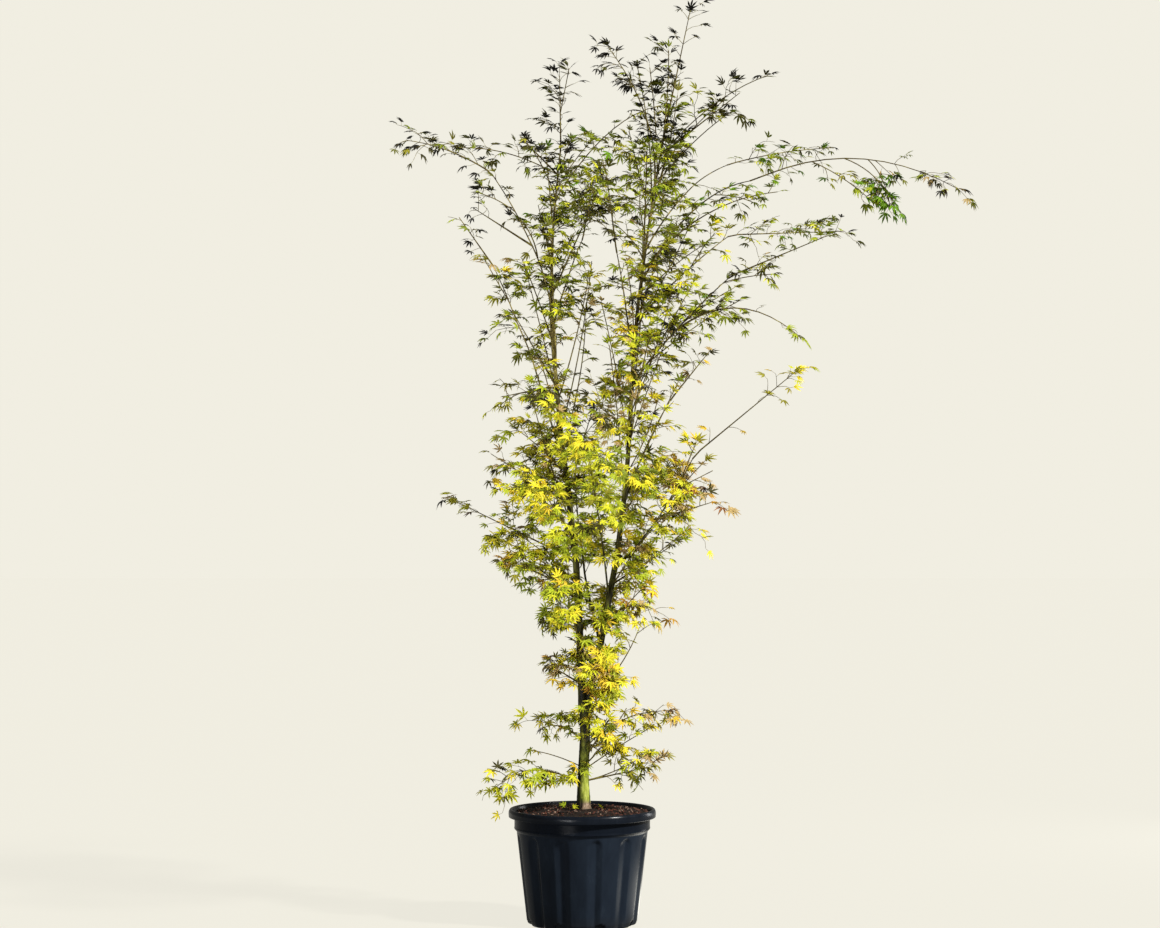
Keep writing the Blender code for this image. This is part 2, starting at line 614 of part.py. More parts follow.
def grow(name, mass, path, space):
    """Twigs in opposite pairs up the stem, and leaves on them: what would leave the space is skipped.

    A twig turns TWIG_ANGLE away from the stem, by turns level and aslant, and is longest in the
    middle of the mass. It carries a leaf at its tip, and in a wide mass every other one has a leaf
    part way along. Two more leaves end the stem.
    """
    dice = random.Random(name)
    twigs = []
    leaves = []

    def offer(root, heading, size):
        """Adds a hanging leaf if there is room for it, and says whether there was."""
        heading = unit(np.array(heading) + (0.0, 0.0, -dice.uniform(*DROOP)))
        frame = leaf_frame(root, heading, mass.leaf * size, dice.uniform(-ROLL, ROLL))
        if space.has_room(leaf_probe(frame), name):
            leaves.append(frame)
            return True
        return False

    for pair in range(mass.pairs):
        share = mass.bare + (LAST_PAIR - mass.bare) * (pair + 0.5) / mass.pairs
        root, forward = along(path, share)
        side = side_of(forward)
        lift = np.cross(side, forward)
        for hand in (1, -1):
            longest = mass.reach * (END_TWIG + (1 - END_TWIG) * math.sin(math.pi * share))
            for attempt in range(ATTEMPTS):
                slant = TWIG_SLANTS[pair % 2] + dice.uniform(-SLANT_SPREAD, SLANT_SPREAD)
                outward = side * hand * math.cos(slant) + lift * hand * math.sin(slant)
                heading = unit(forward * math.cos(TWIG_ANGLE) + unit(outward) * math.sin(TWIG_ANGLE))
                tip = root + heading * longest * (1 - SHORTEN * attempt / ATTEMPTS)
                probe = [root + (tip - root) * part for part in TWIG_PROBE]
                if space.has_room(probe, name) and offer(tip, heading, dice.uniform(*LEAF_SIZES)):
                    twigs.append((root, tip))
                    if hand == 1 and mass.reach >= WIDE_REACH:
                        beside = unit(heading + side_of(heading) * MIDDLE_TURN)
                        offer(root + (tip - root) * MIDDLE_LEAF, beside, MIDDLE_SIZE)
                    break
    for share, turn, size in END_LEAVES:
        root, forward = along(path, share)
        offer(root, forward + side_of(forward) * turn, size)
    return twigs, leaves


def twig_solid(name, root, tip, collection):
    """A three-sided twig: a cone between two points."""
    mesh = bpy.data.meshes.new(name)
    run = Vector(tip) - Vector(root)
    work = bmesh.new()
    bmesh.ops.create_cone(work, cap_ends=True, cap_tris=False, segments=3, depth=run.length,
                          radius1=TWIG_THICK[0] / 2, radius2=TWIG_THICK[1] / 2)
    turn = run.to_track_quat("Z", "X").to_matrix().to_4x4()
    bmesh.ops.transform(work, matrix=Matrix.Translation((Vector(root) + Vector(tip)) / 2) @ turn,
                        verts=work.verts[:])
    work.to_mesh(mesh)
    work.free()
    return new_object(name, mesh, collection, "green")


def leaf_solid(name, frame, collection):
    """A leaf: a ball of two poles and six rim points, its rim drawn out into three lobes."""
    mesh = bpy.data.meshes.new(name)
    work = bmesh.new()
    bmesh.ops.create_uvsphere(work, u_segments=len(LEAF_RIM), v_segments=2, radius=1.0)
    half = LEAF_THICK / 2 / frame.to_scale().x
    for vertex in work.verts:
        if abs(vertex.co.z) > 0.5:
            vertex.co = (LEAF_HEART, 0.0, math.copysign(half, vertex.co.z))
        else:
            corner = round(math.atan2(vertex.co.y, vertex.co.x) / (2 * math.pi) * len(LEAF_RIM))
            vertex.co = (*LEAF_RIM[corner], 0.0)
    bmesh.ops.transform(work, matrix=frame, verts=work.verts[:])
    bmesh.ops.recalc_face_normals(work, faces=work.faces[:])
    work.to_mesh(mesh)
    work.free()
    return new_object(name, mesh, collection, "green")


def outer_skin(mesh):
    """Keeps the largest connected skin of a mesh: scraps and sealed hollows go."""
    work = bmesh.new()
    work.from_mesh(mesh)
    left = set(work.faces)
    skins = []
    while left:
        skin = set()
        edge_of_search = [left.pop()]
        while edge_of_search:
            face = edge_of_search.pop()
            skin.add(face)
            for edge in face.edges:
                for neighbour in edge.link_faces:
                    if neighbour in left:
                        left.remove(neighbour)
                        edge_of_search.append(neighbour)
        skins.append(skin)
    skins.sort(key=len)
    for skin in skins[:-1]:
        bmesh.ops.delete(work, geom=list(skin), context="FACES")
    closed = all(len(edge.link_faces) == 2 for edge in work.edges)
    work.to_mesh(mesh)
    work.free()
    return closed


def fuse(name, mass, path, twigs, leaves, paths, collection, cutters):
    """One solid of a stem, its twigs and its leaves. True where it comes out closed."""
    parts = bpy.data.collections.new(name + "_parts")
    bpy.context.scene.collection.children.link(parts)
    for k, (root, tip) in enumerate(twigs):
        twig_solid(f"{name}_twig_{k}", root, tip, parts)
    for k, frame in enumerate(leaves):
        leaf_solid(f"{name}_leaf_{k}", frame, parts)
    thing = tube(name, path, 4, collection, mass.finish)
    if mass.share < 1.0:
        cut_by(thing, cutter_of(mass.host, paths, cutters))
    join = thing.modifiers.new("Join", "BOOLEAN")
    join.operation = "UNION"
    join.solver = "EXACT"
    join.operand_type = "COLLECTION"
    join.collection = parts
    apply_modifiers(thing)
    for part in list(parts.objects):
        mesh = part.data
        bpy.data.objects.remove(part)
        bpy.data.meshes.remove(mesh)
    bpy.data.collections.remove(parts)
    thing.data.materials.clear()
    thing.data.materials.append(finish(mass.finish))
    closed = outer_skin(thing.data)
    smooth(thing.data)
    return thing, closed


def build_masses(paths, stems, collection, cutters):
    """Every mass, with fewer leaves where fusing leaves it open."""
    space = Space(paths, stems)
    total = 0
    for name, mass in MASSES.items():
        twigs, leaves = grow(name, mass, stems[name], space)
        thing, closed = fuse(name, mass, stems[name], twigs, leaves, paths, collection, cutters)
        while not closed and leaves:
            bpy.data.objects.remove(thing)
            leaves.pop()
            thing, closed = fuse(name, mass, stems[name], twigs, leaves, paths, collection, cutters)
        total += len(leaves)
        print(f"{name}: {len(twigs)} twigs, {len(leaves)} leaves, closed {closed}")
    print("leaves in all:", total)


def main():
    for thing in list(bpy.data.objects):
        bpy.data.objects.remove(thing)
    collection = bpy.data.collections.new("potted_japanese_maple")
    cutters = bpy.data.collections.new("cutters")
    bpy.context.scene.collection.children.link(collection)
    bpy.context.scene.collection.children.link(cutters)
    paths, stems = lay_out()
    build_pot(collection, cutters)
    build_soil(collection)
    build_limbs(paths, collection, cutters)
    build_masses(paths, stems, collection, cutters)


main()
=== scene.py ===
# Potted Japanese maple: bark-covered trunk and stems, fine twigs and lobed leaves, in a fluted nursery pot.
import math
import random

import bpy
import numpy as np
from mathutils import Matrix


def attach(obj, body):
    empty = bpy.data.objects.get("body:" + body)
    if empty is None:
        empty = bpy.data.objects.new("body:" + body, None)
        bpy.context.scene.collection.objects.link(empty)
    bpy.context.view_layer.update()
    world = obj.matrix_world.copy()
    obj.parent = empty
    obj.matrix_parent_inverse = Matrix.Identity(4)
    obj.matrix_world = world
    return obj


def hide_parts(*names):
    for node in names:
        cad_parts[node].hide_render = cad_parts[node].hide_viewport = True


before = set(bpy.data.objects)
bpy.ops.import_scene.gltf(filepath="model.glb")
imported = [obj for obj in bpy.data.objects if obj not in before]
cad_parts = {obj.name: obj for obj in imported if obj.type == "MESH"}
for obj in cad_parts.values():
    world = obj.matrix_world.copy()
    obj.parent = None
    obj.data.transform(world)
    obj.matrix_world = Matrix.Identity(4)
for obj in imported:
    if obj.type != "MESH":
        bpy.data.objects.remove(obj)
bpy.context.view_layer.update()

scene = bpy.context.scene
scene.view_settings.view_transform = "Standard"
scene.view_settings.look = "None"

# where the plant is seen from and where the sun stands: the leaves that are kept depend on both
outlook = {
    "camera": (-0.006, -7.0, 1.10),
    "tilt": 1.195,                      # degrees upwards
    "lens": 79.84,
    "sunTurn": (54, 0, 60),             # degrees
}


# A mesh from whole arrays: points (n, 3) and a list of face arrays, each (m, 3) or (m, 4).
def addPiece(name, points, faceSets, material, nodes=(), smooth=True):
    corners = np.concatenate([faces.ravel() for faces in faceSets]).astype(np.int32)
    sizes = np.concatenate([np.full(len(faces), faces.shape[1]) for faces in faceSets])
    starts = np.concatenate(([0], np.cumsum(sizes)[:-1])).astype(np.int32)
    mesh = bpy.data.meshes.new(name)
    mesh.vertices.add(len(points))
    mesh.vertices.foreach_set("co", points.astype(np.float32).ravel())
    mesh.loops.add(len(corners))
    mesh.loops.foreach_set("vertex_index", corners)
    mesh.polygons.add(len(starts))
    mesh.polygons.foreach_set("loop_start", starts)
    mesh.polygons.foreach_set("use_smooth", np.full(len(starts), smooth))
    mesh.update(calc_edges=True)
    mesh.validate()
    piece = bpy.data.objects.new(name, mesh)
    scene.collection.objects.link(piece)
    mesh.materials.append(material)
    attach(piece, "root")
    if nodes:
        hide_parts(*nodes)
    return piece


# Faces of a grid of rows by columns, closed round the columns when wrapped.
def gridFaces(rows, columns, wrapped=True):
    row = np.arange(rows - 1)[:, None]
    column = np.arange(columns if wrapped else columns - 1)[None, :]
    following = (column + 1) % columns
    first = row * columns + column
    second = row * columns + following
    return np.stack((first, second, second + columns, first + columns), axis=-1).reshape(-1, 4)


# From 0 at low to 1 at high, level at both ends: 3 t squared less 2 t cubed.
def smoothStep(low, high, value):
    share = np.clip((value - low) / (high - low), 0.0, 1.0)
    return share * share * (3.0 - 2.0 * share)


# Random heights on a lattice, smoothly interpolated: u comes round after wrap cells and v after many more.
def lumps(u, v, wrap, seed, cells=257):
    lattice = np.random.default_rng(seed).uniform(-1.0, 1.0, (wrap, cells))
    left, low = np.floor(u).astype(int), np.floor(v).astype(int)
    du, dv = smoothStep(0.0, 1.0, u - left), smoothStep(0.0, 1.0, v - low)
    a, b, c, d = (lattice[(left + k) % wrap, (low + m) % cells] for m in (0, 1) for k in (0, 1))
    return (a * (1 - du) + b * du) * (1 - dv) + (c * (1 - du) + d * du) * dv


# A profile turned about Z: radius and height are (rows, columns) arrays, and both ends run to the axis.
def turnedPiece(name, radius, height, azimuth, material, nodes):
    rows, columns = radius.shape
    grid = np.stack((radius * np.sin(azimuth), -radius * np.cos(azimuth), height), axis=-1)
    poles = np.array([(0.0, 0.0, height[0].mean()), (0.0, 0.0, height[-1].mean())])
    points = np.concatenate((grid.reshape(-1, 3), poles))
    column = np.arange(columns)
    following = (column + 1) % columns
    first = rows * columns
    foot = np.stack((np.full(columns, first), following, column), axis=-1)
    last = (rows - 1) * columns
    head = np.stack((np.full(columns, first + 1), column + last, following + last), axis=-1)
    return addPiece(name, points, [gridFaces(rows, columns), foot, head], material, nodes)


# A shader node with its settings; each input gets a value or the output that feeds it.
def addNode(tree, kind, inputs, **settings):
    node = tree.nodes.new("ShaderNode" + kind)
    for setting, value in settings.items():
        setattr(node, setting, value)
    for socket, value in inputs.items():
        if isinstance(value, bpy.types.NodeSocket):
            tree.links.new(value, node.inputs[socket])
        else:
            node.inputs[socket].default_value = value
    return node


# A material's first node of a type.
def nodeOf(material, kind):
    return next(node for node in material.node_tree.nodes if node.type == kind)


# Noise to colour, through (position, colour) stops.
def colourRamp(tree, noise, ramp):
    colours = addNode(tree, "ValToRGB", {"Fac": noise.outputs["Fac"]})
    while len(colours.color_ramp.elements) < len(ramp):
        colours.color_ramp.elements.new(0.5)
    for element, (position, colour) in zip(colours.color_ramp.elements, ramp):
        element.position = position
        element.color = (*colour, 1.0)
    return colours.outputs["Color"]


# Gives a noisy material another ramp for each band of height, fading from one band's height to the next, and
# paints shade on its left side, away from the sun, where shade gives the x it starts at, the x it is full at
# and the share of light left.
def bandColours(material, bands, shade=None):
    tree = material.node_tree
    noise = nodeOf(material, "TEX_NOISE")
    split = addNode(tree, "SeparateXYZ", {"Vector": nodeOf(material, "TEX_COORD").outputs["Object"]})
    below, colour = bands[0][0], colourRamp(tree, noise, bands[0][1])
    for height, ramp in bands[1:]:
        fade = addNode(tree, "MapRange", {"Value": split.outputs["Z"], "From Min": below, "From Max": height})
        mixed = {"Factor": fade.outputs["Result"], "A": colour, "B": colourRamp(tree, noise, ramp)}
        below, colour = height, addNode(tree, "Mix", mixed, data_type="RGBA").outputs["Result"]
    if shade:
        start, full, left = shade
        fade = addNode(tree, "MapRange", {"Value": split.outputs["X"], "From Min": full, "From Max": start,
                                          "To Min": left})
        dim = addNode(tree, "VectorMath", {0: colour, "Scale": fade.outputs["Result"]}, operation="SCALE")
        colour = dim.outputs["Vector"]
    tree.links.new(colour, tree.nodes["Principled BSDF"].inputs["Base Color"])
    return split.outputs["Z"]


# Principled material with noise in Object coordinates: colour from a ramp, roughness range, bump and shine.
def noisyMaterial(name, ramp, roughness, scale, stretch=(1, 1, 1), bump=0.0, depth=0.001, detail=6.0,
                  shine=0.5):
    material = bpy.data.materials.new(name)
    material.use_nodes = True
    tree = material.node_tree
    shader = tree.nodes["Principled BSDF"]
    shader.inputs["Specular IOR Level"].default_value = shine
    place = addNode(tree, "TexCoord", {})
    mapping = addNode(tree, "Mapping", {"Vector": place.outputs["Object"], "Scale": stretch})
    noise = addNode(tree, "TexNoise", {"Vector": mapping.outputs["Vector"], "Scale": scale, "Detail": detail,
                                       "Roughness": 0.6})
    if len(ramp) == 1:
        shader.inputs["Base Color"].default_value = (*ramp[0][1], 1.0)
    else:
        tree.links.new(colourRamp(tree, noise, ramp), shader.inputs["Base Color"])
    spread = addNode(tree, "MapRange", {"Value": noise.outputs["Fac"], "From Min": 0.3, "From Max": 0.7,
                                        "To Min": roughness[0], "To Max": roughness[1]})
    tree.links.new(spread.outputs["Result"], shader.inputs["Roughness"])
    if bump:
        relief = addNode(tree, "Bump", {"Strength": bump, "Distance": depth, "Height": noise.outputs["Fac"]})
        tree.links.new(relief.outputs["Normal"], shader.inputs["Normal"])
    return material, shader


# plastic colours: scuffed at the foot, then the wall, and darker at the collar and lip, where the darkness is
# painted shade
plastic = {
    "scuffed": ((0.30, (0.010, 0.012, 0.016)), (0.62, (0.017, 0.021, 0.028)), (0.80, (0.045, 0.048, 0.052))),
    "wall": ((0.3, (0.0098, 0.0142, 0.0226)), (0.62, (0.0138, 0.02, 0.0308)), (0.8, (0.0205, 0.028, 0.041))),
    "lip": ((0.3, (0.0045, 0.0064, 0.0105)), (0.62, (0.0064, 0.009, 0.0145)), (0.8, (0.011, 0.0145, 0.021))),
}
pot = {
    "columns": 480,
    "rim": (0.200, 0.311, 0.022),       # outer radius, top and height of the rolled lip
    "lipInside": 0.188,
    "lipRound": (0.0115, 0.006),        # height of the lip's rounding outside and inside
    "collar": (0.184, 0.2545),          # radius and foot
    "bead": (0.0007, 0.0036, 0.0009),   # how far it stands out, its foot above the step, its row step
    "body": (0.1775, 0.149),            # radius under the collar and at the foot
    "footRound": 0.010,
    "stepRound": 0.0030,
    "floor": 0.005,
    "wall": 0.0045,
    "thicker": 0.0040,                  # how much thicker the wall is below the collar
    "innerRows": 24,
    "floorRows": 4,
    "flutes": (12, 12.7, 8.4, 5.6),     # count, azimuth of the first, left and right half widths in degrees
    "fluteDepth": 0.0070,
    "fluteTop": 0.2470,
    "fluteArch": 0.014,                 # how far a flute's top falls at its edges
    "fluteFade": 0.010,
    "notches": (8, 18.7, 0.0135, 0.017, 0.022),   # count, first azimuth, half width, height and depth
    "bands": ((0.010, plastic["scuffed"]), (0.040, plastic["wall"]), (0.250, plastic["wall"]),
              (0.262, plastic["lip"])),
    "roughness": (0.16, 0.30),
    "sheen": (0.04, 0.12),              # specular level of the wall and of the lip
    "sheenRise": (0.024, 0.010),        # where it changes, below the top
}


# Inner wall: its radius is interpolated between the floor, both sides of the collar's step and the lip.
def insideRadius(z):
    body, foot = pot["body"]
    thin = pot["wall"] + pot["thicker"]
    step = pot["collar"][1]
    heights = (pot["floor"], step - pot["wall"], step + pot["wall"], pot["rim"][1] - 0.003)
    return np.interp(z, heights, (foot - thin, body - thin, pot["collar"][0] - pot["wall"], pot["lipInside"]))


# A turned shell: an outline from the middle of the underside up over the lip and down to the floor inside,
# less the flutes and the drain notches.
def makePot():
    rimRadius, rimTop, rimHeight = pot["rim"]
    collar, step = pot["collar"]
    body, foot = pot["body"]
    footRound, stepRound = pot["footRound"], pot["stepRound"]
    bead, beadFoot, beadStep = pot["bead"]
    outerRound, innerRound = pot["lipRound"]
    arc = np.linspace(0.0, math.pi / 2, 7)
    turn = np.linspace(0.0, math.pi, 13)
    lipFoot = rimTop - rimHeight
    lipMiddle = (rimRadius + pot["lipInside"]) / 2
    lipHalf = (rimRadius - pot["lipInside"]) / 2
    wallTop = step - 0.006
    wallRows = np.linspace(0.012, wallTop, 60)
    fine = np.arange(6)
    rising = np.sin(np.linspace(0.0, math.pi / 2, 5))
    inner = np.linspace(rimTop - 0.008, pot["floor"], pot["innerRows"])
    outline = [
        (np.linspace(0.02, foot - footRound, 8), np.zeros(8)),
        (foot - footRound + footRound * np.sin(arc), footRound - footRound * np.cos(arc)),
        (foot + (body - foot) * wallRows / wallTop, wallRows),
        (body + 0.0008 * fine[:4], step - 0.004 + 0.0010 * fine[:4]),
        (collar - stepRound * np.cos(arc), step + stepRound * np.sin(arc)),
        (collar + bead * np.exp(-((fine - 2.5) / 1.5) ** 2), step + beadFoot + beadStep * fine),
        (np.full(8, collar), np.linspace(step + 0.010, lipFoot - 0.0005, 8)),
        (np.linspace(collar + 0.001, rimRadius - 0.002, 5), np.full(5, lipFoot)),
        (rimRadius - 0.002 + 0.0015 * np.sin(arc), lipFoot + 0.002 - 0.002 * np.cos(arc)),
        (rimRadius - 0.0005 + 0.0005 * rising, lipFoot + 0.0030 + 0.0015 * fine[:5]),
        (rimRadius - lipHalf + lipHalf * np.cos(arc), rimTop - outerRound + outerRound * np.sin(arc)),
        (lipMiddle + lipHalf * np.cos(turn[7:]), rimTop - innerRound + innerRound * np.sin(turn[7:])),
        (insideRadius(inner) - 0.0002, inner),
        (np.linspace(0.13, 0.02, pot["floorRows"]), np.full(pot["floorRows"], pot["floor"])),
    ]
    radius = np.concatenate([r for r, z in outline])[:, None]
    height = np.concatenate([z for r, z in outline])[:, None]
    outside = np.arange(len(radius)) < len(radius) - pot["innerRows"] - pot["floorRows"]
    azimuth = np.linspace(0.0, 2 * math.pi, pot["columns"], endpoint=False)[None, :]
    # a flute is a shallow V with a rounded top, deepest at its line and running out at its two edges
    count, first, left, right = pot["flutes"]
    pitch = 360.0 / count
    offset = (np.degrees(azimuth) - first + pitch / 2) % pitch - pitch / 2
    across = np.where(offset < 0.0, -offset / left, offset / right)
    depth = np.clip(1.0 - across, 0.0, 0.94) / 0.94
    crest = pot["fluteTop"] - pot["fluteArch"] * across ** 2
    flute = pot["fluteDepth"] * depth * (1.0 - smoothStep(crest - pot["fluteFade"], crest, height))
    # a drain notch is a recess with a rounded head
    count, first, half, tall, deep = pot["notches"]
    pitch = 2 * math.pi / count
    aside = (azimuth - math.radians(first) + pitch / 2) % pitch - pitch / 2
    aside = np.abs(aside) * foot / half
    head = tall * np.sqrt(np.clip(1.0 - 0.55 * aside ** 2, 0.0, 1.0))
    notch = deep * (1.0 - smoothStep(0.86, 1.0, aside)) * (1.0 - smoothStep(head - 0.0016, head, height))
    onWall = outside[:, None] & (radius > 0.12)
    radius = np.broadcast_to(radius, (len(radius), pot["columns"])) - np.where(onWall, flute + notch, 0.0)
    height = np.broadcast_to(height, radius.shape)
    material, shader = noisyMaterial("potPlastic", plastic["scuffed"], pot["roughness"], 34.0,
                                     stretch=(1, 1, 0.35), bump=0.06, depth=0.0006)
    low, high = pot["sheenRise"]
    sheen = addNode(material.node_tree, "MapRange", {
        "Value": bandColours(material, pot["bands"]), "From Min": rimTop - low, "From Max": rimTop - high,
        "To Min": pot["sheen"][0], "To Max": pot["sheen"][1]})
    material.node_tree.links.new(sheen.outputs["Result"], shader.inputs["Specular IOR Level"])
    turnedPiece("potShell", radius, height, azimuth, material, ["pot"])


makePot()
print("pot done")

soil = {
    "edge": 0.3005,
    "crown": 0.3100,
    "flat": 0.030,                      # radius of the level ground round the trunk
    "shoulder": 0.75,                   # share of the crown's rise that is left half way out
    "gap": 0.0005,                      # between the soil and the pot
    "columns": 260,
    "relief": ((0.030, 0.0026), (0.011, 0.0018), (0.0045, 0.0010)),    # size and height of the lumps
    "lattice": (300, 251),              # where on the lumps' lattice the middle lies, and how wide it is
    "colour": ((0.36, (0.003, 0.002, 0.0015)), (0.54, (0.011, 0.006, 0.004)), (0.72, (0.070, 0.024, 0.013))),
    "chips": 900,
    "chipSize": (0.003, 0.011),
    "chipColours": (((0.135, 0.034, 0.016), 0.45), ((0.02, 0.01, 0.007), 0.41), ((0.33, 0.21, 0.15), 0.14)),
}


# Radius of the soil at the height of its edge.
def soilEdge():
    return insideRadius(soil["edge"]) - soil["gap"]


# Height of the soil: level round the trunk, then falling to the pot's wall.
def soilHeight(radius):
    level, edge, crown = soil["edge"], soilEdge(), soil["crown"]
    middle = (soil["flat"] + edge) / 2
    shoulder = level + (crown - level) * soil["shoulder"]
    return np.interp(radius, (0.0, soil["flat"], middle, edge), (crown, crown, shoulder, level))


# Lumps of each size, added up.
def soilRelief(x, y):
    shift, cells = soil["lattice"]
    return sum(tall * lumps(x / size + shift, y / size + shift, cells, k)
               for k, (size, tall) in enumerate(soil["relief"]))


# The filled root ball: rings from the middle of its top to the edge, down the wall and in over the floor.
def makeSoil():
    edge = soilEdge()
    azimuth = np.linspace(0.0, 2 * math.pi, soil["columns"], endpoint=False)[None, :]
    ring = np.linspace(0.004, edge, 80)[:, None] * np.ones_like(azimuth)
    top = soilHeight(ring) + soilRelief(ring * np.sin(azimuth), ring * np.cos(azimuth)) - 0.001
    bottom = pot["floor"] + soil["gap"]
    down = np.linspace(soil["edge"] - 0.006, bottom, 10)[:, None] * np.ones_like(azimuth)
    wall = insideRadius(down) - soil["gap"]
    floorRing = np.full((1, soil["columns"]), 0.02)
    radius = np.concatenate((ring, wall, floorRing))[::-1]
    height = np.concatenate((top, down, np.full_like(floorRing, bottom)))[::-1]
    material = noisyMaterial("pottingMix", soil["colour"], (0.85, 1.0), 260.0, bump=0.8, depth=0.002,
                             shine=0.25)[0]
    turnedPiece("soilTop", radius, height, azimuth, material, ["soil"])

    # bark chips: flat wedges with uneven corners, strewn over the soil and turned every way
    rng = np.random.default_rng(11)
    cube = np.array([(x, y, z) for z in (-1, 1) for y in (-1, 1) for x in (-1, 1)], float)
    sides = np.array([(0, 2, 3, 1), (4, 5, 7, 6), (0, 1, 5, 4), (2, 6, 7, 3), (0, 4, 6, 2), (1, 3, 7, 5)])
    for k, (colour, portion) in enumerate(soil["chipColours"]):
        count = int(soil["chips"] * portion)
        radius = (edge - 0.008) * np.sqrt(rng.uniform(0.03, 1.0, count))
        angle = rng.uniform(0.0, 2 * math.pi, count)
        x = radius * np.cos(angle)
        y = radius * np.sin(angle)
        z = soilHeight(radius) + soilRelief(x, y) + 0.0008
        size = rng.uniform(*soil["chipSize"], count)[:, None] * np.array([(0.5, 0.28, 0.12)])
        size = size * rng.uniform(0.6, 1.3, (count, 3))
        chips = cube[None] * size[:, None, :] * rng.uniform(0.55, 1.0, (count, 8, 3))
        turn = rng.uniform(0.0, 2 * math.pi, count)
        tilt = rng.normal(0.0, 0.35, count)
        c, s, ct, st = np.cos(turn), np.sin(turn), np.cos(tilt), np.sin(tilt)
        none = np.zeros(count)
        spin = np.stack((np.stack((c * ct, -s, c * st), -1), np.stack((s * ct, c, s * st), -1),
                         np.stack((-st, none, ct), -1)), axis=1)
        points = np.einsum("nij,nkj->nki", spin, chips) + np.stack((x, y, z), -1)[:, None, :]
        faces = (sides[None] + 8 * np.arange(count)[:, None, None]).reshape(-1, 4)
        dark = tuple(0.45 * channel for channel in colour)
        material = noisyMaterial(f"barkChip{k + 1}", ((0.35, dark), (0.65, colour)), (0.75, 0.95), 420.0)[0]
        addPiece(f"barkChips{k + 1}", points.reshape(-1, 3), [faces], material, smooth=False)


makeSoil()
print("soil done")

trunk = {
    "foot": (0.0045, 0.0, 0.3053),
    "fork": (0.0080, 0.0, 0.600),
    "length": 0.295,                    # for the height of the knots
    "bow": (-0.001, 0.0, 0.0),
    "sway": (-0.0015, 0.0, 0.0),
    "thick": (0.043, 0.027, 0.035),     # at the root flare, the waist and the fork
    "rings": 260,
    "sides": 56,
    "relief": 0.030,
    "nodeGap": 0.12,
    "burr": (0.030, 0.03, 0.0034),      # place, width and height of the rough swelling at the foot
    "knots": ((0.16, 0.2, 0.0022), (0.40, 2.4, 0.0026), (0.63, 4.4, 0.0022), (0.83, 1.2, 0.0024)),
    "knotSize": (0.007, 0.008),         # a knot's half width and half height
    # bark colours at these heights: a tan burr, green bark made much lighter as painted sunlight, then darker
    # and mottled to the fork
    "bands": (
        (0.326, ((0.41, (0.014, 0.009, 0.006)), (0.51, (0.19, 0.125, 0.08)), (0.64, (0.48, 0.36, 0.26)))),
        (0.338, ((0.38, (0.06, 0.07, 0.014)), (0.50, (0.30, 0.34, 0.04)), (0.66, (0.56, 0.60, 0.15)))),
        (0.430, ((0.38, (0.05, 0.06, 0.012)), (0.50, (0.25, 0.29, 0.034)), (0.66, (0.52, 0.56, 0.12)))),
        (0.500, ((0.42, (0.016, 0.015, 0.008)), (0.54, (0.11, 0.11, 0.018)), (0.64, (0.36, 0.36, 0.05)))),
        (0.600, ((0.44, (0.008, 0.007, 0.005)), (0.56, (0.046, 0.044, 0.01)), (0.66, (0.24, 0.23, 0.04)))),
    ),
    # painted shade on the trunk's left side, away from the sun
    "shade": (0.0010, -0.0075, 0.06),   # x where the left side starts to darken and is darkest, light left
}
# host, share of it, tip, thickness at foot and tip, and bow
limbs = {
    "stem_left": ("trunk", 1, (-0.06, 0.03, 2.1), (0.022, 0.005), (-0.03, 0.01, 0)),
    "stem_right": ("trunk", 1, (0.235, -0.01, 2.2), (0.0195, 0.0045), (0.006, -0.01, 0)),
    "stem_back": ("stem_right", 0.115, (-0.02, 0.19, 1.22), (0.011, 0.006), (-0.012, 0.02, 0)),
    "bough_left_mid": ("stem_left", 0.4, (-0.23, -0.19, 1.755), (0.0085, 0.005), (0.01, 0, 0.02)),
    "bough_left_high": ("stem_left", 0.61, (-0.24, -0.09, 2.02), (0.009, 0.0048), (0.05, 0, 0)),
    "bough_back": ("stem_left", 0.245, (-0.055, 0.28, 1.1), (0.0085, 0.0055), (0, 0, 0.015)),
    "bough_front": ("stem_right", 0.19, (0.04, -0.28, 1.12), (0.0085, 0.0055), (0, 0, 0.015)),
    "bough_right_spread": ("stem_right", 0.24, (0.293, -0.16, 1.256), (0.0085, 0.0045), (0.005, 0, -0.02)),
    "bough_right_low": ("stem_right", 0.345, (0.245, 0.14, 1.425), (0.008, 0.005), (0, 0, 0.02)),
    "bough_right_red": ("stem_right", 0.545, (0.385, -0.24, 1.73), (0.009, 0.0048), (-0.01, 0, 0.008)),
    "bough_right_mid": ("stem_right", 0.65, (0.41, 0.22, 1.89), (0.008, 0.0045), (0, 0, 0.015)),
    "bough_right_long": ("stem_right", 0.715, (0.45, -0.1, 2.005), (0.0082, 0.0045), (-0.01, 0, 0.055)),
    "bough_right_top": ("stem_right", 0.77, (0.405, 0.17, 2.085), (0.007, 0.0042), (-0.005, 0, 0.035)),
    "bough_upper_back": ("stem_left", 0.68, (0, 0.31, 1.89), (0.0075, 0.0048), (0, 0, 0.02)),
    "bough_upper_front": ("stem_right", 0.58, (0.09, -0.31, 1.79), (0.0075, 0.0048), (0, 0, 0.02)),
}
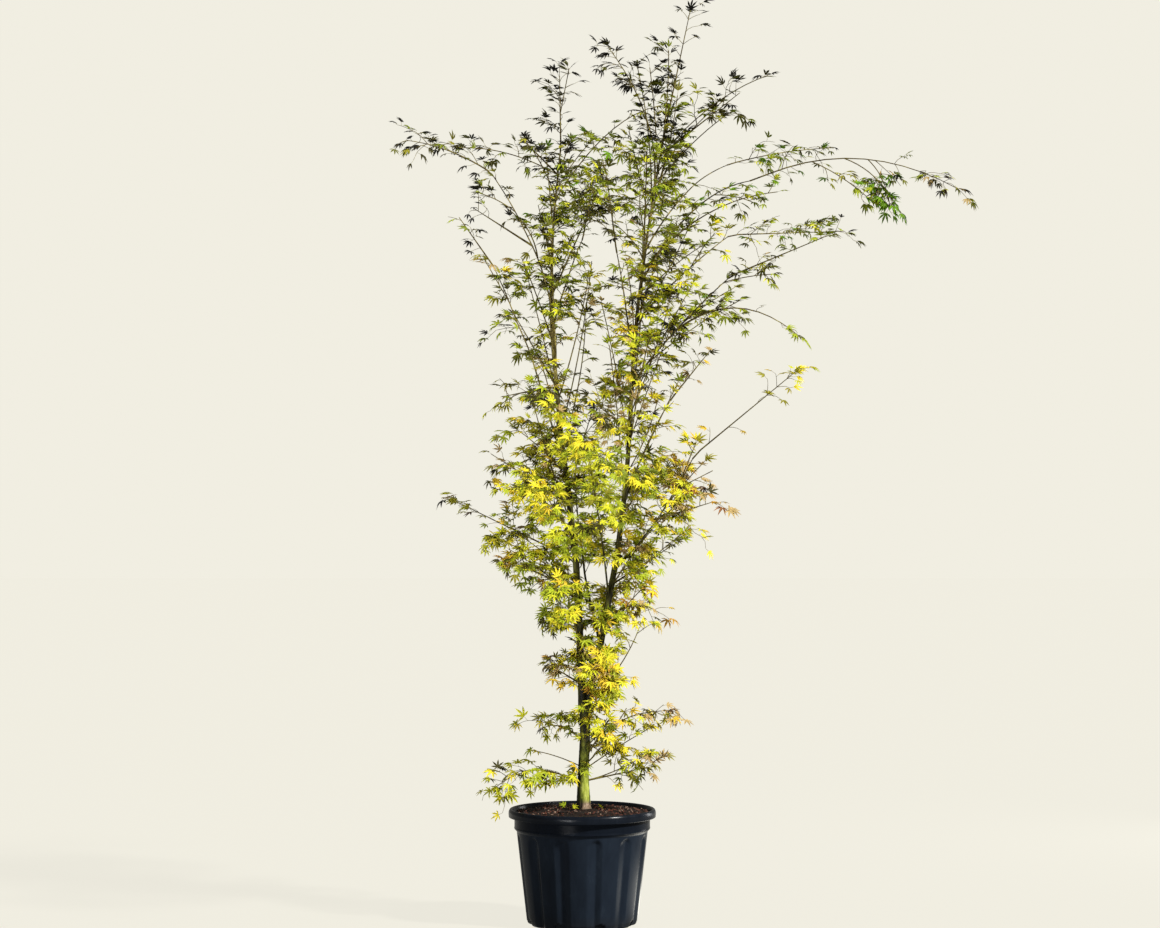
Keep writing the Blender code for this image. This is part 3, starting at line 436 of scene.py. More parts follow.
limbLook = {
    "stemSway": (0.018, 0, 0),
    "aside": {"stem_left": -0.0075, "stem_right": 0.0095},    # of the middle of the trunk's top
    # stem bark by height: near-black low down as painted shade under the crown, and a light tan band round
    # 1.6 m as painted light where the sun falls on the stems
    "bands": (
        (0.700, ((0.40, (0.01, 0.009, 0.005)), (0.55, (0.042, 0.04, 0.01)), (0.70, (0.15, 0.16, 0.03)))),
        (1.250, ((0.38, (0.012, 0.01, 0.006)), (0.52, (0.065, 0.058, 0.014)), (0.68, (0.21, 0.20, 0.04)))),
        (1.600, ((0.40, (0.024, 0.018, 0.007)), (0.52, (0.18, 0.14, 0.036)), (0.64, (0.48, 0.39, 0.12)))),
        (2.100, ((0.40, (0.018, 0.014, 0.007)), (0.54, (0.08, 0.064, 0.02)), (0.68, (0.24, 0.19, 0.06)))),
    ),
    "slim": 0.66,                       # how thick a bough is next to its solid
    "tip": 0.8,                         # and how thick any limb's tip is
    "collar": (0.35, 0.022),            # a bough's swelling at its foot: share of its radius, length
    "sunk": 2.5,                        # how far a stem's foot runs down into the trunk's top
    "wander": 0.0028,                   # how far a stem strays from its smooth line between its nodes
    "nodeGap": 0.085,                   # distance between the rings of old leaf scars
    "relief": 0.07,
}
straight = (0.0, 0.0, 0.0)


# A vector over its own length.
def unitOf(vector):
    vector = np.asarray(vector, dtype=float)
    return vector / np.linalg.norm(vector)


# A level direction square to the heading: the heading crossed with the upright.
def sideOf(heading):
    side = np.cross(heading, (0.0, 0.0, 1.0))
    if np.linalg.norm(side) < 0.2:
        side = np.cross(heading, (0.0, 1.0, 0.0))
    return unitOf(side)


# A direction square to the heading, turned about it from the level one.
def squareTo(heading, turn):
    side = sideOf(heading)
    return side * math.cos(turn) + np.cross(side, heading) * math.sin(turn)


# From foot to tip: a straight line, plus the bow as a parabola and the sway as a sine.
def sweptLine(foot, tip, bow, sway, count):
    t = np.linspace(0.0, 1.0, count)[:, None]
    foot, tip, bow, sway = (np.array(v, dtype=float) for v in (foot, tip, bow, sway))
    return foot + (tip - foot) * t + bow * 4 * t * (1 - t) + sway * np.sin(2 * np.pi * t)


# Point and direction of a line at a share of its length.
def alongLine(points, share):
    steps = np.diff(points, axis=0)
    lengths = np.linalg.norm(steps, axis=1)
    ends = np.cumsum(lengths)
    piece = min(int(np.searchsorted(ends, share * ends[-1])), len(steps) - 1)
    heading = steps[piece] / lengths[piece]
    return points[piece + 1] - heading * (ends[piece] - share * ends[-1]), heading


# Line of a limb from a share of its host's; from the host's end it is set aside and first runs on straight.
def lineFrom(host, share, end, bow, pitch, sway=straight, aside=0.0):
    start, heading = alongLine(host, share)
    count = max(5, round(np.linalg.norm(np.array(end) - start) / pitch) + 1)
    if share < 1.0:
        return sweptLine(start, end, bow, sway, count)
    start = start + heading * 0.0003 + np.array((aside, 0.0, 0.0))
    return np.vstack((start, sweptLine(start + heading * 0.012, end, bow, sway, count)))


# A round profile carried along lines of equal point counts: lines (n, k, 3) and radii (n, k, sides).
def tubePoints(lines, radii):
    count, sides = len(radii), radii.shape[2]
    forward = np.gradient(lines, axis=1)
    forward /= np.linalg.norm(forward, axis=2, keepdims=True)
    run = lines[:, -1] - lines[:, 0]
    level = np.stack((-run[:, 1], run[:, 0], np.zeros(count)), axis=-1)
    level[np.linalg.norm(level, axis=1) < 1e-4] = (1.0, 0.0, 0.0)
    level = np.broadcast_to(level[:, None], lines.shape)
    right = level - forward * (level * forward).sum(2, keepdims=True)
    right /= np.linalg.norm(right, axis=2, keepdims=True)
    up = np.cross(forward, right)
    angle = np.arange(sides) * 2 * np.pi / sides
    ring = right[:, :, None] * np.cos(angle)[:, None] + up[:, :, None] * np.sin(angle)[:, None]
    return lines[:, :, None] + radii[..., None] * ring


# Those tubes as a mesh: a fan closes each end, or one triangle where the profile has three sides.
def tubes(lines, radii):
    count, stations, sides = radii.shape
    rings = tubePoints(lines, radii).reshape(count, -1, 3)
    wall = gridFaces(stations, sides)
    last = (stations - 1) * sides
    if sides == 3:
        points = rings
        ends = np.array([(2, 1, 0), (last, last + 1, last + 2)])
    else:
        points = np.concatenate((rings, lines[:, :1], lines[:, -1:]), axis=1)
        side = np.arange(sides)
        following = (side + 1) % sides
        foot = np.full(sides, stations * sides)
        ends = np.concatenate((np.stack((foot, following, side), -1),
                               np.stack((foot + 1, side + last, following + last), -1)))
    shift = points.shape[1] * np.arange(count)[:, None, None]
    return points.reshape(-1, 3), [(wall[None] + shift).reshape(-1, 4), (ends[None] + shift).reshape(-1, 3)]


# Joins meshes: each is its points and its face arrays.
def joined(parts):
    points = np.concatenate([part[0] for part in parts])
    quads, triangles, shift = [], [], 0
    for own, faces in parts:
        quads.append(faces[0] + shift)
        triangles.append(faces[1] + shift)
        shift += len(own)
    return points, [np.concatenate(quads), np.concatenate(triangles)]


bark = {
    # furrows, ripples and swellings: how many there are round the limb, their length and their height
    "lumps": ((9, 0.050, 0.9), (17, 0.011, 0.45), (3, 0.090, 1.1)),
    "ring": (0.0035, 0.02, 0.9),        # half width, place and height of the ring at an old node
}


# Bark relief as a share of the radius: lumps of each kind and a ring at each old node, added up.
def barkRelief(name, lengths, sides, nodeGap, strength):
    seed = sum(ord(letter) * (k + 1) for k, letter in enumerate(name))
    angle = np.arange(sides)[None, :] / sides
    length = lengths[:, None]
    relief = 0.0
    for k, (number, long, tall) in enumerate(bark["lumps"]):
        relief = relief + tall * lumps(angle * number, length / long, number, seed + k)
    width, place, tall = bark["ring"]
    ring = np.exp(-(((length + place) % nodeGap - nodeGap / 2) / width) ** 2)
    return strength * (relief + tall * ring)


# Length of a line up to each of its points.
def lengthsOf(points):
    return np.concatenate(([0.0], np.cumsum(np.linalg.norm(np.diff(points, axis=0), axis=1))))


# A tube along the trunk's line: its radius falls from the flare to the waist and widens to the fork, with the
# bark's relief, a burr at its foot, and knots: swellings with a sunk middle where old shoots were cut.
def makeTrunk():
    line = sweptLine(trunk["foot"], trunk["fork"], trunk["bow"], trunk["sway"], trunk["rings"])
    flare, waist, fork = (thick / 2 for thick in trunk["thick"])
    share = np.linspace(0.0, 1.0, trunk["rings"])[:, None]
    sides = trunk["sides"]
    angle = np.arange(sides)[None, :] * 2 * np.pi / sides
    radius = waist + (flare - waist) * (1 - share) ** 4 + (fork - waist) * share ** 8
    radius = radius * (1 + barkRelief("trunk", lengthsOf(line), sides, trunk["nodeGap"], trunk["relief"]))
    place, width, tall = trunk["burr"]
    rough = lumps(angle * 15 / (2 * np.pi), share * 60, 15, 5)
    radius = radius + tall * np.exp(-((share - place) / width) ** 2) * rough
    halfWidth, halfHeight = trunk["knotSize"]
    for place, bearing, tall in trunk["knots"]:
        turn = (angle - bearing + np.pi) % (2 * np.pi) - np.pi
        spread = (turn * 0.016 / halfWidth) ** 2 + ((share - place) * trunk["length"] / halfHeight) ** 2
        radius = radius + tall * (np.exp(-spread) - 0.8 * np.exp(-4 * spread))
    # the top closes over, and the foot runs into the soil
    radius = radius * np.sqrt(np.clip((1.0 - share) / 0.03, 0.05, 1.0))
    line[:, 2] -= 0.004 * (1 - share[:, 0]) ** 6
    material = noisyMaterial("trunkBark", trunk["bands"][0][1], (0.55, 0.8), 70.0, stretch=(1, 1, 0.30),
                             bump=0.5, depth=0.002, shine=0.15)[0]
    bandColours(material, trunk["bands"], trunk["shade"])
    points, faces = tubes(line[None], radius[None])
    addPiece("trunkBark", points, faces, material, ["trunk"])
    return line


# Tubes along the limbs' lines, tapering to their tips; a bough swells at its foot, and a stem's foot is sunk.
def makeLimbs(trunkLine):
    lines = {"trunk": trunkLine}
    radii = {"trunk": (trunk["thick"][1] / 2, trunk["thick"][2] / 2)}
    parts = []
    for name, (host, share, tip, thick, bow) in limbs.items():
        fromTrunk = name in limbLook["aside"]
        sway = limbLook["stemSway"] if fromTrunk else straight
        line = lineFrom(lines[host], share, tip, bow, 0.010, sway, limbLook["aside"].get(name, 0.0))
        lengths = lengthsOf(line)
        stray = limbLook["wander"] * np.sin(np.pi * lengths / lengths[-1])
        seed = len(name) + ord(name[-1])
        for axis in (0, 1):
            line[:, axis] += stray * lumps(lengths / 0.10, np.zeros_like(lengths) + seed, 63, 21 + axis)
        foot, end = thick[0] / 2, thick[1] / 2
        radius = np.linspace(foot, end * limbLook["tip"], len(line))
        if fromTrunk:
            line = np.vstack((line[0] - (line[1] - line[0]) * limbLook["sunk"], line))
            lengths = lengthsOf(line)
            radius = np.concatenate((radius[:1] * 0.9, radius))
        else:
            swelling, long = limbLook["collar"]
            radius = radius * limbLook["slim"] + swelling * foot * np.exp(-lengths / long)
        sides = 28 if thick[0] > 0.015 else 16
        relief = barkRelief(name, lengths, sides, limbLook["nodeGap"], limbLook["relief"])
        parts.append(tubes(line[None], (radius[:, None] * (1 + relief))[None]))
        lines[name] = line
        radii[name] = (foot, end)
    material = noisyMaterial("stemBark", limbLook["bands"][0][1], (0.5, 0.8), 60.0, stretch=(1, 1, 0.2),
                             bump=0.4, shine=0.12)[0]
    bandColours(material, limbLook["bands"])
    points, faces = joined(parts)
    addPiece("stemBark", points, faces, material, list(limbs))
    return lines, radii


limbLines, limbRadii = makeLimbs(makeTrunk())
print("trunk and stems done")

# host, share of it, end, reach, twig pairs, leaf, bow and bare share
masses = {
    "leaves_foot_left": ("trunk", 0.22, (-0.24, -0.06, 0.37), 0.08, 3, 0.085, (0, 0, 0.05), 0.24),
    "leaves_foot_right": ("trunk", 0.28, (0.23, -0.02, 0.435), 0.08, 3, 0.085, (0, 0, 0), 0.26),
    "leaves_fork_left": ("trunk", 0.62, (-0.12, 0.04, 0.52), 0.07, 2, 0.085, (0, 0, 0.03), 0.15),
    "leaves_fork_right": ("trunk", 0.45, (0.235, -0.05, 0.58), 0.065, 3, 0.085, (-0.03, 0, 0.035), 0.4),
    "leaves_collar_left": ("stem_left", 0.05, (-0.1, 0.03, 0.705), 0.055, 2, 0.075, (0, 0, 0), 0.15),
    "leaves_collar_right": ("stem_right", 0.045, (0.09, -0.12, 0.665), 0.085, 3, 0.09, (0, 0, 0), 0.15),
    "leaves_hang_left": ("stem_left", 0.15, (-0.095, 0.03, 0.82), 0.065, 3, 0.09, (0, 0, 0.02), 0.15),
    "leaves_hang_right": ("stem_right", 0.15, (0.21, 0.06, 0.84), 0.08, 3, 0.09, (0, 0, 0.035), 0.15),
    "leaves_left_wide": ("stem_left", 0.2, (-0.25, -0.13, 0.975), 0.11, 3, 0.11, (0, 0, 0.03), 0.25),
    "leaves_left_row": ("stem_left", 0.27, (-0.35, 0.13, 1.145), 0.06, 2, 0.085, (0, 0, 0), 0.35),
    "leaves_left_sparse": ("stem_left", 0.37, (-0.25, 0.08, 1.275), 0.085, 3, 0.09, (0, 0, 0), 0.15),
    "leaves_front": ("bough_front", 1, (0.01, -0.53, 1.29), 0.13, 3, 0.11, (0, 0, 0), 0.05),
    "leaves_front_left": ("stem_left", 0.31, (-0.11, -0.27, 1.18), 0.11, 4, 0.1, (0, 0, 0), 0.15),
    "leaves_back": ("bough_back", 1, (-0.11, 0.54, 1.28), 0.13, 3, 0.11, (0, 0, 0), 0.05),
    "leaves_back_right": ("stem_right", 0.33, (0.2, 0.36, 1.23), 0.12, 3, 0.11, (0, 0, 0), 0.15),
    "leaves_right_mid": ("stem_right", 0.215, (0.27, 0.17, 1.035), 0.1, 3, 0.09, (0, 0, 0), 0.15),
    "leaves_right_gold": ("bough_right_spread", 0.5, (0.34, -0.21, 1.14), 0.09, 3, 0.11, (0, 0, 0), 0.15),
    "leaves_right_spread": ("bough_right_spread", 1, (0.555, -0.31, 1.48), 0.055, 2, 0.07, (0, 0, 0), 0.08),
    "leaves_stem_back": ("stem_back", 1, (0.03, 0.35, 1.41), 0.12, 4, 0.1, (0, 0, 0), 0.05),
    "leaves_left_bend": ("bough_left_mid", 0.45, (-0.23, 0.06, 1.43), 0.09, 3, 0.09, (0, 0, 0), 0.15),
    "leaves_left_inner": ("stem_left", 0.58, (-0.19, 0.22, 1.67), 0.1, 3, 0.09, (0, 0, 0), 0.15),
    "leaves_left_outer": ("bough_left_mid", 1, (-0.32, -0.33, 1.88), 0.07, 2, 0.085, (0, 0, 0), 0.05),
    "leaves_centre_low": ("stem_right", 0.47, (0.03, -0.13, 1.41), 0.09, 3, 0.09, (0, 0, 0), 0.15),
    "leaves_right_shoot": ("bough_right_low", 1, (0.4, 0.28, 1.62), 0.09, 3, 0.11, (0, 0, 0), 0.05),
    "leaves_right_dense": ("bough_right_red", 0.5, (0.58, -0.2, 1.575), 0.095, 3, 0.11, (0, 0, 0.07), 0.15),
    "leaves_right_red": ("bough_right_red", 1, (0.625, -0.44, 1.82), 0.08, 3, 0.085, (0, 0, 0), 0.05),
    "leaves_left_fork": ("bough_left_high", 0.62, (-0.33, 0.26, 1.99), 0.08, 3, 0.085, (0, 0, 0), 0.2),
    "leaves_left_arch": ("bough_left_high", 1, (-0.465, -0.2, 2.1), 0.08, 3, 0.085, (0, 0, 0.015), 0.05),
    "leaves_left_crown": ("stem_left", 0.8, (-0.14, 0.23, 2.05), 0.12, 4, 0.09, (0, 0, 0), 0.15),
    "leaves_centre": ("stem_left", 0.74, (0.05, -0.12, 1.99), 0.11, 4, 0.09, (0, 0, 0), 0.15),
    "leaves_left_row_top": ("stem_left", 0.96, (-0.215, -0.16, 2.165), 0.05, 2, 0.075, (0, 0, 0), 0.3),
    "leaves_left_top": ("stem_left", 1, (-0.062, 0.02, 2.31), 0.08, 2, 0.075, (0, 0, 0), 0.02),
    "leaves_upper_back": ("bough_upper_back", 1, (0.03, 0.56, 2.09), 0.13, 3, 0.11, (0, 0, 0), 0.05),
    "leaves_upper_front": ("bough_upper_front", 1, (0.06, -0.55, 1.97), 0.13, 3, 0.11, (0, 0, 0), 0.05),
    "leaves_right_crown": ("stem_right", 0.82, (0.24, 0.29, 2.12), 0.118, 4, 0.09, (0, 0, 0), 0.15),
    "leaves_right_crown_front": ("stem_right", 0.74, (0.17, -0.28, 2.07), 0.12, 4, 0.09, (0, 0, 0), 0.15),
    "leaves_dark_top": ("stem_right", 0.85, (0.07, -0.03, 2.38), 0.065, 3, 0.075, (0.05, 0, 0), 0.45),
    "leaves_right_top": ("stem_right", 1, (0.294, 0.01, 2.48), 0.085, 3, 0.075, (0, 0, 0), 0.02),
    "leaves_right_top_side": ("stem_right", 0.93, (0.43, -0.08, 2.25), 0.08, 2, 0.085, (0, 0, 0), 0.3),
    "leaves_arch_top": ("bough_right_top", 1, (0.74, 0.35, 2.16), 0.065, 3, 0.085, (0, 0, 0.01), 0.05),
    "leaves_arch_mid": ("bough_right_mid", 1, (0.76, 0.44, 1.93), 0.07, 3, 0.085, (0, 0, 0), 0.05),
    "leaves_arch_long": ("bough_right_long", 1, (1, -0.17, 1.975), 0.09, 4, 0.085, (0, 0, 0.07), 0.05),
}
growth = {
    "twigAngle": math.radians(52),      # between a twig and its stem
    "slants": (0.9, 0.15),              # turn of every other pair round the stem, and its unevenness below
    "slantSpread": 0.5,
    "lastPair": 0.92,
    "endTwig": 0.6,                     # length of a twig at the stem's ends, next to one in the middle
    "twigProbe": (0.35, 0.5, 0.65, 0.8, 1.0),
    "attempts": 12,
    "shorten": 0.75,                    # how much shorter the last attempt would be
    "wideReach": 0.100,                 # masses that reach this far have a spray in the middle of each twig
    "middleLeaf": (0.55, 1.1, 0.85),    # place on the twig, turn aside and size
    "leafSizes": (0.85, 1.1),
    "endLeaves": ((1.0, 0.0, 1.0), (0.94, 1.0, 0.85)),
    "droop": (0.1, 0.9),
    "roll": 0.9,
    "limbClear": 0.006,                 # space round a limb, and between one mass and the next
    "margin": 0.005,
    "potClear": (0.215, 0.322),         # radius and height of the space over the pot
    "stemThick": (0.0080, 0.0058),
    "sprayRim": ((1.0, 0.0), (0.60, 0.15), (0.68, 0.42), (0.0, 0.0), (0.68, -0.42), (0.60, -0.15)),
    "ribProbe": (0.2, 0.32, 0.44, 0.56, 0.68, 0.8, 0.92, 1.0),
}
# base colour, roughness and a slot name, which nothing reads
tints = {
    # ink and shade are near-black copies of the leaf colours: painted shade for leaves in shadow
    "ink": ((0.013, 0.012, 0.008), 0.60, "dark"),
    "shade": ((0.052, 0.047, 0.008), 0.55, "dark"),
    "deep": ((0.108, 0.112, 0.010), 0.50, "dark"),
    "leafGreen": ((0.170, 0.205, 0.012), 0.50, "green"),
    "vivid": ((0.135, 0.270, 0.008), 0.48, "bright"),
    "olive": ((0.275, 0.255, 0.018), 0.55, "green"),
    "fresh": ((0.330, 0.385, 0.018), 0.48, "bright"),
    "lime": ((0.530, 0.530, 0.022), 0.50, "green"),
    "lemon": ((0.690, 0.590, 0.030), 0.50, "gold"),
    "gold": ((0.610, 0.430, 0.026), 0.52, "gold"),
    "amber": ((0.460, 0.255, 0.024), 0.55, "gold"),
    "tan": ((0.430, 0.310, 0.120), 0.60, "gold"),
    "rust": ((0.240, 0.100, 0.026), 0.60, "gold"),
    "dry": ((0.100, 0.058, 0.030), 0.70, "gold"),
}
# how often each colour is dealt out, by the place on the plant; inkTips and darkCrown, at the top, deal
# mostly the near-black ones as painted shade
palettes = {
    "inkTips": {"ink": 9, "shade": 2.5, "deep": 0.8},
    "darkCrown": {"ink": 5.6, "shade": 3.4, "deep": 2.4, "leafGreen": 1.6, "olive": 0.8, "fresh": 0.7},
    "greenCrown": {"ink": 1.2, "shade": 3, "deep": 2.4, "leafGreen": 3.4, "vivid": 0.2, "olive": 1.2,
        "fresh": 3.6, "lime": 2.2},
    "vividArch": {"shade": 1.2, "deep": 1.5, "leafGreen": 2.8, "vivid": 1.8, "olive": 0.6, "fresh": 4.2,
        "lime": 2.4},
    "vividGreen": {"deep": 1, "leafGreen": 1, "vivid": 6, "fresh": 1.5},
    "oliveMid": {"ink": 0.3, "shade": 2, "deep": 1.2, "leafGreen": 1, "olive": 3.4, "fresh": 1.2,
        "lime": 2.5, "lemon": 1.5, "gold": 0.9, "tan": 1.2},
    "limeMid": {"shade": 0.6, "deep": 0.8, "leafGreen": 2.2, "olive": 1.3, "fresh": 4, "lime": 6,
        "lemon": 3.2, "gold": 0.5},
    "limeCrown": {"ink": 0.3, "shade": 1.2, "deep": 0.7, "olive": 1.4, "fresh": 2.2, "lime": 5,
        "lemon": 3, "tan": 1.0, "gold": 0.7},
    "bronze": {"ink": 0.6, "shade": 2, "olive": 3, "fresh": 1, "lime": 0.8, "tan": 1.6, "dry": 0.8},
    "goldMid": {"leafGreen": 0.6, "olive": 1.7, "fresh": 1.2, "lime": 4.4, "lemon": 5.8, "gold": 1.6,
        "amber": 0.5, "tan": 1.1},
    "ochre": {"olive": 1.6, "fresh": 0.5, "lime": 2.2, "lemon": 2.6, "gold": 1.8, "amber": 0.6,
        "tan": 2.8, "rust": 0.2},
    "dryTips": {"shade": 0.6, "olive": 2.5, "lime": 1, "gold": 1, "amber": 0.6, "tan": 4, "rust": 0.6,
        "dry": 0.8},
    "lowGreen": {"shade": 0.6, "deep": 0.8, "leafGreen": 1.5, "olive": 1.6, "fresh": 2, "lime": 4.6,
        "lemon": 3.6, "gold": 0.3},
    "sprout": {"fresh": 2, "lime": 3},
    "hanging": {"shade": 0.8, "deep": 1.8, "leafGreen": 3.5, "olive": 1.2, "fresh": 3.6, "lime": 3,
        "lemon": 0.8},
}
# how full of leaves each mass is, and its leaf colours below and at the end
massLook = {
    "leaves_foot_left": (0.5, "lowGreen", "lowGreen"), "leaves_foot_right": (0.4, "lowGreen", "dryTips"),
    "leaves_fork_left": (0.55, "lowGreen", "lowGreen"), "leaves_fork_right": (0.45, "goldMid", "dryTips"),
    "leaves_collar_left": (1.0, "ochre", "dryTips"), "leaves_collar_right": (1.0, "goldMid", "goldMid"),
    "leaves_hang_left": (0.75, "hanging", "hanging"), "leaves_hang_right": (0.55, "goldMid", "dryTips"),
    "leaves_left_wide": (0.5, "limeMid", "hanging"), "leaves_left_row": (0.35, "oliveMid", "bronze"),
    "leaves_left_sparse": (0.28, "oliveMid", "bronze"), "leaves_front": (1.0, "limeMid", "limeMid"),
    "leaves_front_left": (1.0, "limeMid", "limeMid"), "leaves_back": (1.0, "oliveMid", "oliveMid"),
    "leaves_back_right": (1.0, "limeMid", "goldMid"), "leaves_right_mid": (0.65, "limeMid", "limeMid"),
    "leaves_right_gold": (0.45, "goldMid", "dryTips"), "leaves_right_spread": (0.3, "goldMid", "goldMid"),
    "leaves_stem_back": (1.0, "oliveMid", "oliveMid"), "leaves_left_bend": (0.28, "oliveMid", "bronze"),
    "leaves_left_inner": (0.55, "greenCrown", "greenCrown"),
    "leaves_left_outer": (0.22, "darkCrown", "darkCrown"),
    "leaves_centre_low": (0.55, "oliveMid", "oliveMid"),
    "leaves_right_shoot": (0.28, "oliveMid", "oliveMid"),
    "leaves_right_dense": (0.5, "greenCrown", "vividArch"),
    "leaves_right_red": (0.28, "oliveMid", "vividArch"),
    "leaves_left_fork": (0.22, "darkCrown", "darkCrown"),
    "leaves_left_arch": (0.38, "darkCrown", "darkCrown"),
    "leaves_left_crown": (0.85, "greenCrown", "greenCrown"),
    "leaves_centre": (0.5, "greenCrown", "greenCrown"),
    "leaves_left_row_top": (0.4, "darkCrown", "inkTips"), "leaves_left_top": (0.45, "inkTips", "inkTips"),
    "leaves_upper_back": (1.0, "greenCrown", "greenCrown"),
    "leaves_upper_front": (0.55, "greenCrown", "greenCrown"),
    "leaves_right_crown": (1.0, "greenCrown", "greenCrown"),
    "leaves_right_crown_front": (1.0, "greenCrown", "vividArch"),
    "leaves_dark_top": (0.5, "darkCrown", "inkTips"), "leaves_right_top": (0.36, "darkCrown", "inkTips"),
    "leaves_right_top_side": (0.3, "vividArch", "inkTips"),
    "leaves_arch_top": (0.4, "vividArch", "darkCrown"),
    "leaves_arch_mid": (0.35, "vividArch", "greenCrown"), "leaves_arch_long": (0.45, "vividArch", "bronze"),
}
